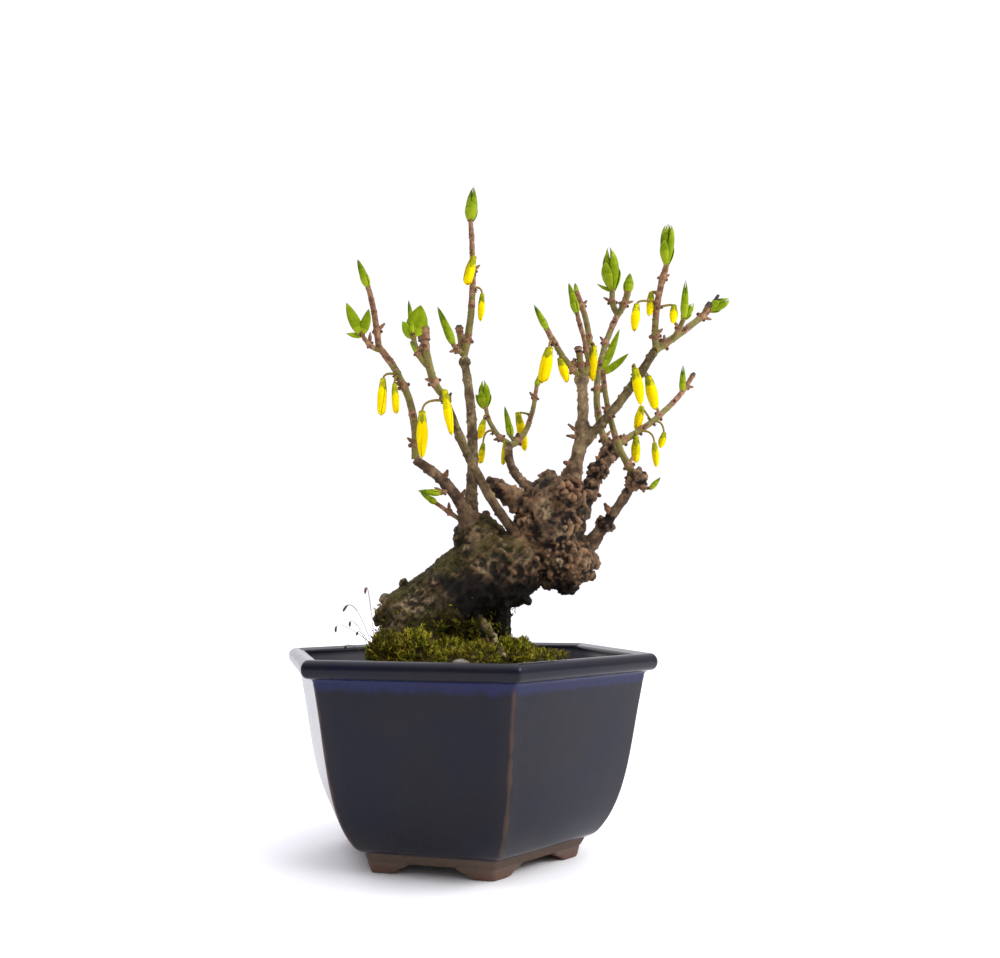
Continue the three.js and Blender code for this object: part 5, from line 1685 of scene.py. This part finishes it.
def blade(heap, base, axis, outward, length, width, kinds):
    side = unit(np.cross(axis, outward))
    outward = np.cross(side, axis)
    share = np.linspace(0, 1, LEAF_ROWS)
    angle = LEAN + CURL * share ** 1.5
    step = length / (LEAF_ROWS - 1)
    along = np.concatenate([[0], np.cumsum(np.cos(angle[1:]))]) * step
    out = np.concatenate([[0], np.cumsum(np.sin(angle[1:]))]) * step
    rib = base + axis * along[:, None] + outward * out[:, None]
    normals = outward * np.cos(angle)[:, None] - axis * np.sin(angle)[:, None]
    half = width / 2 * (np.sin(math.pi * share ** BROAD) ** 0.8 + 0.16 * (1 - share) ** 3)
    rolled = np.sin(LEAF_ACROSS * CUP) / CUP
    raised = (np.cos(LEAF_ACROSS * CUP) - 1) / CUP - 0.1 * np.exp(-(LEAF_ACROSS / 0.15) ** 2)
    ripple = 0.05 * np.sin(share * 17)[:, None] * LEAF_ACROSS ** 2
    middle = rib[:, None] + side * (half[:, None] * rolled)[..., None]
    middle = middle + normals[:, None] * (half[:, None] * (raised * 0.9 + ripple))[..., None]
    sheet_of(heap, middle, np.broadcast_to(normals[:, None], middle.shape), BLADE_THICK, kinds)


def across_pair(way, turn):
    """A direction across a way, turned round it."""
    level = unit(np.cross(way, (0.0, 1.0, 0.0) if abs(way[1]) < 0.9 else (1.0, 0.0, 0.0)))
    return level * math.cos(turn) + np.cross(way, level) * math.sin(turn)


def across_turn(way):
    """The turn of across_pair that points most to the right, so that an opened pair shows."""
    turns = np.linspace(0, 2 * math.pi, 24, endpoint=False)
    return float(turns[np.argmax([across_pair(way, turn)[0] for turn in turns])])


def foot_scales(scales, base, way, width, chance, turn, pairs=3):
    """Brown bud scales that clasp a shoot's foot."""
    for index in range(2 * pairs):
        outward = across_pair(way, turn + index * math.pi / 2 + 0.3 * (next(chance) - 0.5))
        start = base + way * (0.45 * (index // 2) - 0.2) + outward * 0.12 * width
        size = between((1.0, 1.6), next(chance)) + 0.12 * width
        scale_shape(scales, start, unit(way + 0.22 * outward), outward, size, size * 0.7, 0.6)


def spindle(widest, foot, power=0.75):
    """The distance from the axis of a folded bud: widest somewhere, narrow at its foot, pointed."""
    def half(share):
        rise_part = foot + (1 - foot) * np.sin(np.clip(share / widest, 0, 1) * math.pi / 2)
        fall_part = np.cos(np.clip((share - widest) / (1 - widest), 0, 1) * math.pi / 2) ** power
        return rise_part * fall_part
    return half


def spear(leaves, scales, base, way, length, width, chance):
    """A closed shoot: an outer pair of leaves folded round an inner, longer pair."""
    turn = 2 * math.pi * next(chance)
    foot_scales(scales, base, way, width, chance, turn)
    shape = spindle(0.36, 0.55)
    for pair, (reach, size) in enumerate([(between((0.6, 0.92), next(chance)), 1.0), (1.0, 0.86)]):
        for side in (0, math.pi):
            outward = across_pair(way, turn + pair * math.pi / 2 + side)
            own = reach * between((0.93, 1.0), next(chance))
            tones = [LIME] * 6 + [GREEN] * 8 if pair == 0 else [GREEN] * 9 + [DARK_GREEN] * 5
            folded(leaves, base, way, outward, length * own, lambda share: width / 2 * size * shape(share),
                   1.5 + 0.12 * pair, tones, tip=0.45)


def opened(leaves, scales, base, way, length, width, chance):
    """A shoot about to open: blunt leaves cupped round each other, each pair a little parted."""
    turn = across_turn(way) + 0.6 + 0.3 * (next(chance) - 0.5)
    foot_scales(scales, base, way, width * 0.7, chance, turn)
    shape = spindle(0.55, 0.34, 0.6)
    for pair, (reach, size, part) in enumerate([(0.66, 1.0, 0.1), (0.95, 0.86, 0.07), (1.0, 0.6, 0.02)]):
        for side in (0, math.pi):
            outward = across_pair(way, turn + pair * math.pi / 2 + side)
            tones = [LIME] * 7 + [GREEN] * 7 if pair == 0 else [GREEN] * 11 + [LIME] * 3
            own = length * reach * between((0.9, 1.0), next(chance))
            lean = unit(way + outward * part)
            folded(leaves, base, lean, outward, own, lambda share: width / 2 * size * shape(share),
                   1.15, tones, tip=0.7, seam=DARK_GREEN if pair else None)


def lone_leaf(leaves, scales, base, way, length, width, chance):
    """One open leaf that faces the front and the light."""
    facing = unit(np.cross(np.cross(way, (0.0, -1.0, 0.35)), way))
    foot_scales(scales, base, way, width * 0.5, chance, 0.3, 1)
    blade(leaves, base, way, facing, length, width, [LIME] * 4 + [GREEN] * 10)


# %% The leaf shoots of each mass
# A row holds its twig, the place along it, the way it points, its length and its width, and how
# its leaves have grown.
SHOOTS = {
    "left_outer_spray": [
        ("rise", 1, (-0.38, -0.1, 1), 10.5, 3.1, spear),
        ("side", 1, (-0.5, -0.2, 1), 12, 4, lone_leaf),
        ("side", 0.98, (0.35, -0.3, 1), 9.5, 3.6, lone_leaf),
        ("side", 0.94, (-1, 0, 0.05), 6, 2.4, lone_leaf),
    ],
    "tall_spray": [
        ("stem", 1, (0.07, 0, 1), 13.4, 5.2, spear),
        ("side", 1, (-0.43, -0.1, 1), 15, 3.4, spear),
        ("side", 0.95, (-0.65, -0.4, 1), 8, 2.6, spear),
    ],
    "slanting_spray": [
        ("side", 1, (0.25, 0, 1), 11, 7.4, lone_leaf),
        ("side", 0.98, (-0.15, 0.3, 1), 15, 2.4, spear),
        ("side", 0.94, (-0.7, -0.2, 0.9), 7, 4, lone_leaf),
        ("side", 0.55, (-0.8, -0.5, 1), 5, 2, spear),
    ],
    "curved_spray": [
        ("left", 1, (-0.08, 0, 1), 11.6, 5, opened),
        ("left", 0.97, (-0.75, 0.1, 1), 7.5, 3.2, lone_leaf),
        ("short", 0.4, (-0.19, 0.2, 1), 12.8, 3, spear),
        ("stem", 1, (0.3, 0.2, 1), 7, 2.4, spear),
    ],
    "main_spray": [
        ("left", 1, (-0.6, -0.3, 1), 10, 2.6, spear),
        ("thin", 1, (-0.25, 0, 1), 12.2, 3.2, spear),
        ("stem", 1, (-0.1, 0.3, 1), 5, 2, spear),
    ],
    "high_leaf_spray": [
        ("left", 1, (-0.07, 0, 1), 20, 7.2, opened),
        ("left", 0.95, (-1, -0.1, 0.35), 7.8, 2, lone_leaf),
        ("left", 0.92, (0.55, 0.1, 1), 5.5, 1.8, lone_leaf),
        ("right", 1, (0.15, 0, 1), 8.8, 4.4, spear),
    ],
    "right_spray": [
        ("stem", 0.84, (0.05, 0, 1), 11.6, 3, spear),
        ("stem", 1, (0.6, 0.3, 0.7), 4, 2, spear),
    ],
    "long_spray": [
        ("stem", 1, (0.9, -0.1, 0.47), 9, 4.4, opened),
        ("side", 1, (0.05, -0.1, 1), 13.6, 3, spear),
        ("side", 0.9, (0.65, 0, 1), 7.6, 3.2, opened),
        ("rise", 1, (0.06, 0, 1), 15.6, 4.6, opened),
    ],
    "low_spray": [
        ("stem", 1, (0.42, 0.1, 1), 18, 3, lone_leaf),
        ("stem", 0.97, (0.95, -0.2, 0.7), 12.5, 3, lone_leaf),
    ],
    "low_shoot": [
        ("stem", 1, (0.7, -0.2, 0.8), 5.5, 2, spear),
    ],
    "stub_shoot": [
        ("stem", 1, (-1, -0.1, 0.1), 8, 2.4, spear),
    ],
    "foot_shoot": [
        ("stem", 1, (-0.9, -0.2, 0.6), 7, 2.4, spear),
    ],
}
print("leaf shoots:", sum(len(rows) for rows in SHOOTS.values()))

# %% [markdown]
# The side buds are dealt out by the model's rule: one at each node, on the side and of the length
# that the seeded draws say, and none where it would touch a limb. Each is a small spindle in the
# clasp of four scales. The shoots of the table above are set at the same time.

# %% Deal out buds and shoots
BUD_HALF = 0.62
BUD_CLEAR = 0.4


def clear_of_limbs(tip):
    """False where a tip would lie in the trunk, or in a bough or too near to it."""
    if inside_trunk(tip[None])[0] < 1.05:
        return False
    for bough, curve in bough_curves.items():
        away = distance(curve.points, tip)
        nearest = int(np.argmin(away))
        if away[nearest] < between(BOUGHS[bough][3], nearest / (len(away) - 1)) + BUD_CLEAR:
            return False
    return True


def side_bud(scales, base, way, length, chance):
    """A sleeping bud: a small spindle, clasped by scales."""
    turn = 2 * math.pi * next(chance)
    share = np.linspace(0, 1, 9)
    radii = BUD_HALF * spindle(0.35, 0.7)(share) + 0.02
    scales.add(*tube(base + way * (share * length)[:, None], radii, 10), RUSSET)
    for index in range(4):
        outward = across_pair(way, turn + index * math.pi / 2)
        size = length * between((0.45, 0.75), next(chance))
        scale_shape(scales, base + outward * BUD_HALF * 0.5, way, outward, size, BUD_HALF * 1.5)


leaves = Heap()
bud_count = 0
for number, (name, curves) in enumerate(twig_curves.items()):
    draw = draws(SEED + number)
    for twig, curve in curves.items():
        for index, node in enumerate(node_shares(curve)):
            along, pair = node_frame(curve, node, index)
            side = -1 if next(draw) < 0.5 else 1
            way = unit(along * BUD_LEAN + pair * side)
            length = between(BUD_LENGTH, next(draw))
            radius = between(MASSES[name][twig][4], node) * TWIG_SLIMMER
            if clear_of_limbs(curve.at(node) + way * length):
                side_bud(twigs, curve.at(node) + way * radius * 0.8, way, length, chance)
                bud_count += 1
    for twig, at, way, length, width, grow in SHOOTS.get(name, []):
        way = unit(way)
        grow(leaves, twigs, curves[twig].at(at) - way * ROOT_SINK, way, length, width, chance)
print("side buds:", bud_count)

# %% [markdown]
# The blossom of a weeping forsythia hangs from short curved stalks while it is still folded. From
# the stalk down there are dark bud scales, four small green calyx lobes, and four yellow petals
# rolled round each other into a slim club, with some green left near the stalk. Each petal is the
# leaf shape again, hung upside down and rolled round its neighbours.

# %% Hang the blossom
YELLOW, DEEP_YELLOW, GREEN_YELLOW, CALYX, STALK_GREEN, SEAM_SHADE = range(6)
DOWN = np.array([0.0, 0.0, -1.0])
FULLER = 1.04  # a folded flower swells a little past the model's slim cone
STALK_RINGS = 12


def club(share, taper):
    """The distance of a folded petal from the flower's axis: it swells, tapers and ends blunt."""
    swell = (0.6 + 0.4 * soft_step(share, 0.0, 0.45)) * (1 - taper * soft_step(share, 0.5, 1.0))
    return swell * np.sqrt(np.maximum(1 - np.clip((share - 0.8) / 0.2, 0, 1) ** 2.4, 0.0))


def sepal(share):
    return (0.5 + 0.42 * share) * (1 - 0.1 * share ** 3)


def blossom(petals, scales, start, stalk, sway, length, width, unripe, chance):
    neck = start + np.array(stalk)
    out = unit(neck - start)
    top = np.array([neck[0], neck[1], max(start[2], neck[2]) + STALK_ARCH])
    stalk_radii = 0.36 + 0.16 * np.linspace(1, 0, STALK_RINGS) ** 2
    petals.add(*tube(bent(start, top, neck, STALK_RINGS), stalk_radii, 8), STALK_GREEN)
    turn = 2 * math.pi * next(chance)
    lean = unit(DOWN + (sway, 0.12 * (next(chance) - 0.5), 0))
    half = width / 2 * FULLER
    taper = between((0.05, 0.5), next(chance))
    foot_scales(scales, start + out * 0.6, out, 1.6, chance, turn, 2)
    petals.add(SMALL_BALL[0] * (0.62 * half, 0.62 * half, 0.8) + neck, SMALL_BALL[1], CALYX)
    for index in range(4):
        outward = across_pair(lean, turn + index * math.pi / 2)
        own = between((0.26, 0.38), next(chance)) * length * (1 + 0.4 * unripe)
        folded(petals, neck, lean, outward, own, lambda share: half * sepal(share) + 0.1,
               0.8, CALYX, tip=1.3)
    for index in range(4):
        outward = across_pair(lean, turn + 0.6 + index * math.pi / 2)
        kind = (YELLOW, DEEP_YELLOW, YELLOW, YELLOW)[int(4 * next(chance))]
        green = min(LEAF_ROWS - 1, 3 + int(12 * unripe * next(chance)) + int(6 * unripe))
        tones = [GREEN_YELLOW] * green + [kind] * (LEAF_ROWS - 1 - green)
        size = length * between((0.93, 1.0), next(chance))
        inward = 1 - 0.06 * index
        # The petals' long edges take a darker orange tint: painted shade where the petals overlap.
        folded(petals, neck, lean, outward, size, lambda share: half * inward * club(share, taper),
               1.25, tones, tip=0.35, twist=0.5, thick=0.12, seam=SEAM_SHADE)


petals = Heap()
blossom_count = 0
for name, rows in BLOSSOMS.items():
    for twig, at, *shape in rows:
        host = twig_curves[name].get(twig) or bough_curves[twig]
        blossom(petals, twigs, host.at(at), *shape, chance)
        blossom_count += 1
print("blossoms:", blossom_count)

# %% [markdown]
# Last come a few things that make a plant look lived with: twig ends that died back and were never
# cut, the spurs of old twigs on the boughs, and thin moss stalks that have shed their lids and
# curl. A dead end is a short dark tube with a ragged end, and a moss stalk is a hair-thin tube
# that ends in a bent capsule.

# %% Dead ends and moss stalks
DEAD_ENDS = [  # mass, twig or bough, the place along it, the way, the length and the radius
    ("long_spray", "stem", 0.97, (0.65, -0.2, 1), 6.8, 0.7),
    ("long_spray", "stem", 0.88, (0.5, -0.3, 1), 5, 1.1),
    ("tall_spray", "stub", 1, (-0.1, 0, 1), 2.6, 1.45),
    ("slanting_spray", "stem", 0.82, (-0.15, 0, 1), 6.5, 2.2),
    ("main_spray", "stub", 1, (-0.1, 0, 1), 1.6, 1.4),
    ("slanting_blossom", "stem", 0.5, (0.5, -0.2, 1), 3.2, 0.5),
    ("right_spray", "stem", 0.98, (0.6, 0, 0.9), 3.4, 1),
    ("main_spray", "left", 0.3, (0.7, 0, 1), 3.4, 0.6),
    ("curved_spray", "stem", 0.2, (-0.3, -0.2, 1), 2.6, 0.7),
    (None, "main_bough", 0.52, (-1, -0.2, 0.1), 5.6, 0.8),
    (None, "main_bough", 0.54, (-1, -0.2, 0.8), 6.4, 0.7),
    (None, "low_bough", 0.55, (-0.6, -0.3, 1), 5.2, 1.1),
    (None, "stub_bough", 0.62, (0.4, -0.4, 1), 4.4, 0.9),
    (None, "stub_bough", 0.34, (0.5, -0.3, 1), 4.6, 0.8),
    (None, "gnarled_bough", 0.35, (0.8, -0.5, -0.5), 5.4, 1.2),
    (None, "main_bough", 0.28, (-1, -0.4, 0.3), 4.8, 1.1),
    (None, "tall_bough", 0.66, (-0.5, -1, 0.6), 3.2, 0.7),
    (None, "long_bough", 0.35, (0.6, -1, -0.4), 3.4, 0.8),
]
END_RINGS, END_SIDES = 14, 10
DEAD_TWIG, SPUR = (8, 0.3, DEAD), (10, 0.55, SCAR)  # rings still russet, the taper and the tip's tint
for mass, host, at, way, length, radius in DEAD_ENDS:
    foot = (twig_curves[mass] if mass else bough_curves)[host].at(at)
    russet, taper, tint = DEAD_TWIG if mass else SPUR
    share = np.linspace(0, 1, END_RINGS)
    line = foot + unit(way) * (share * length)[:, None]
    ragged = 1 + 0.16 * noise(line, 0.9, seed=121) + 0.22 * np.exp(-((share - 0.6) / 0.12) ** 2)
    tints = np.repeat([RUSSET] * russet + [tint] * (END_RINGS - 1 - russet), END_SIDES)
    places, faces = tube(line, radius * ragged * (1 - taper * share ** 3), END_SIDES)
    twigs.add(places, faces, np.append(tints, [tint] * 2 * END_SIDES))
print("dead ends:", len(DEAD_ENDS))

MOSS_STALKS = [  # foot, the top of the bow, and the capsule's end
    ((-31, -9, 68), (-36, -10, 83), (-41, -10, 80)), ((-31, -11, 68), (-37, -11, 78), (-38.5, -11, 75)),
    ((-30, -12, 68), (-32, -12, 88), (-33.5, -12, 86)), ((-32, -8, 67), (-35, -8, 74), (-36.5, -8, 72)),
    ((-30, -7, 68), (-41, -8, 77), (-43.5, -8, 73)), ((-33, -13, 66), (-38, -14, 70), (-39.5, -14, 68)),
    ((4, -25, 65), (6.5, -27, 73), (7.5, -28, 70.5)),
]
STALK_RADIUS, CAPSULE_RADIUS = 0.1, 0.42
share = np.linspace(0, 1, 22)
swell = soft_step(share, 0.76, 0.86) * (1 - soft_step(share, 0.95, 1.0))
for foot, top, end in MOSS_STALKS:
    aim = np.array(top) + 0.35 * (np.array(top) - foot)
    line = bent(foot, aim, end, len(share))
    twigs.add(*tube(line, between((STALK_RADIUS, CAPSULE_RADIUS), swell), 7), SCAR)

# %% [markdown]
# Twigs, leaves and petals are small in a picture of the whole plant, so their colours are dealt
# out plainly, one material for each tint, and each material only adds fine mottling to its tint.
# Leaves and petals keep only a faint sheen, so that their colours stay deep.

# %% Tints of twigs, leaves and petals
def mottled_look(name, tone, other, size, gloss, depth, shine=0.03):
    look = Look(name)
    places = look.places()
    patches = look.noise(places, size, 4.0, 0.6)
    fine = look.noise(places, size / 5, 3.0, 0.7)
    blend = look.mix(look.rise(patches, 0.35, 0.7), tone, other)
    blend = look.mix(look.rise(fine, 0.55, 0.8) * 0.35, blend, shade(tone, 0.45))
    relief = look.bump(patches + fine * 0.6, depth)
    dull = gloss + fine * 0.15
    return look.finish(Base_Color=blend, Roughness=dull, Normal=relief, Specular_IOR_Level=shine)


twig_looks = [
    mottled_look("olive twig skin", (0.17, 0.14, 0.032), (0.1, 0.085, 0.02), 3.0, 0.5, 0.15, 0.2),
    mottled_look("grey twig skin", (0.15, 0.1, 0.055), (0.34, 0.24, 0.14), 3.0, 0.6, 0.15, 0.15),
    mottled_look("bud scale and scar", (0.055, 0.024, 0.012), (0.16, 0.075, 0.035), 1.2, 0.55, 0.15, 0.2),
    mottled_look("russet twig bark", (0.13, 0.06, 0.028), (0.3, 0.17, 0.09), 2.0, 0.6, 0.2, 0.15),
    mottled_look("dead twig end", (0.03, 0.024, 0.02), (0.09, 0.07, 0.055), 1.5, 0.7, 0.2, 0.15),
]
leaf_looks = [
    mottled_look("young leaf", (0.13, 0.2, 0.004), (0.21, 0.27, 0.007), 3.0, 0.4, 0.05),
    mottled_look("pale foot of a leaf", (0.26, 0.32, 0.014), (0.19, 0.26, 0.008), 3.0, 0.4, 0.05),
    mottled_look("dark leaf tip", (0.08, 0.14, 0.004), (0.13, 0.2, 0.006), 3.0, 0.4, 0.05),
]
petal_looks = [
    mottled_look("petal yellow", (0.78, 0.62, 0.0), (0.72, 0.53, 0.0), 4.0, 0.45, 0.04),
    mottled_look("deep petal yellow", (0.7, 0.49, 0.0), (0.76, 0.57, 0.0), 4.0, 0.45, 0.04),
    mottled_look("greenish petal yellow", (0.46, 0.42, 0.002), (0.6, 0.5, 0.002), 4.0, 0.45, 0.04),
    mottled_look("calyx green", (0.18, 0.2, 0.006), (0.34, 0.33, 0.01), 2.0, 0.5, 0.05),
    mottled_look("stalk green", (0.2, 0.17, 0.02), (0.24, 0.13, 0.04), 1.5, 0.5, 0.05),
    # painted shade along the petals' overlapping edges
    mottled_look("painted shade on petal seams", (0.5, 0.29, 0.0), (0.6, 0.4, 0.0), 2.0, 0.5, 0.04),
]
twigs.piece("twigs", twig_looks, "twig", list(MASSES))
leaves.piece("leaves", leaf_looks, "leaf")
petals.piece("blossom", petal_looks, "petal")
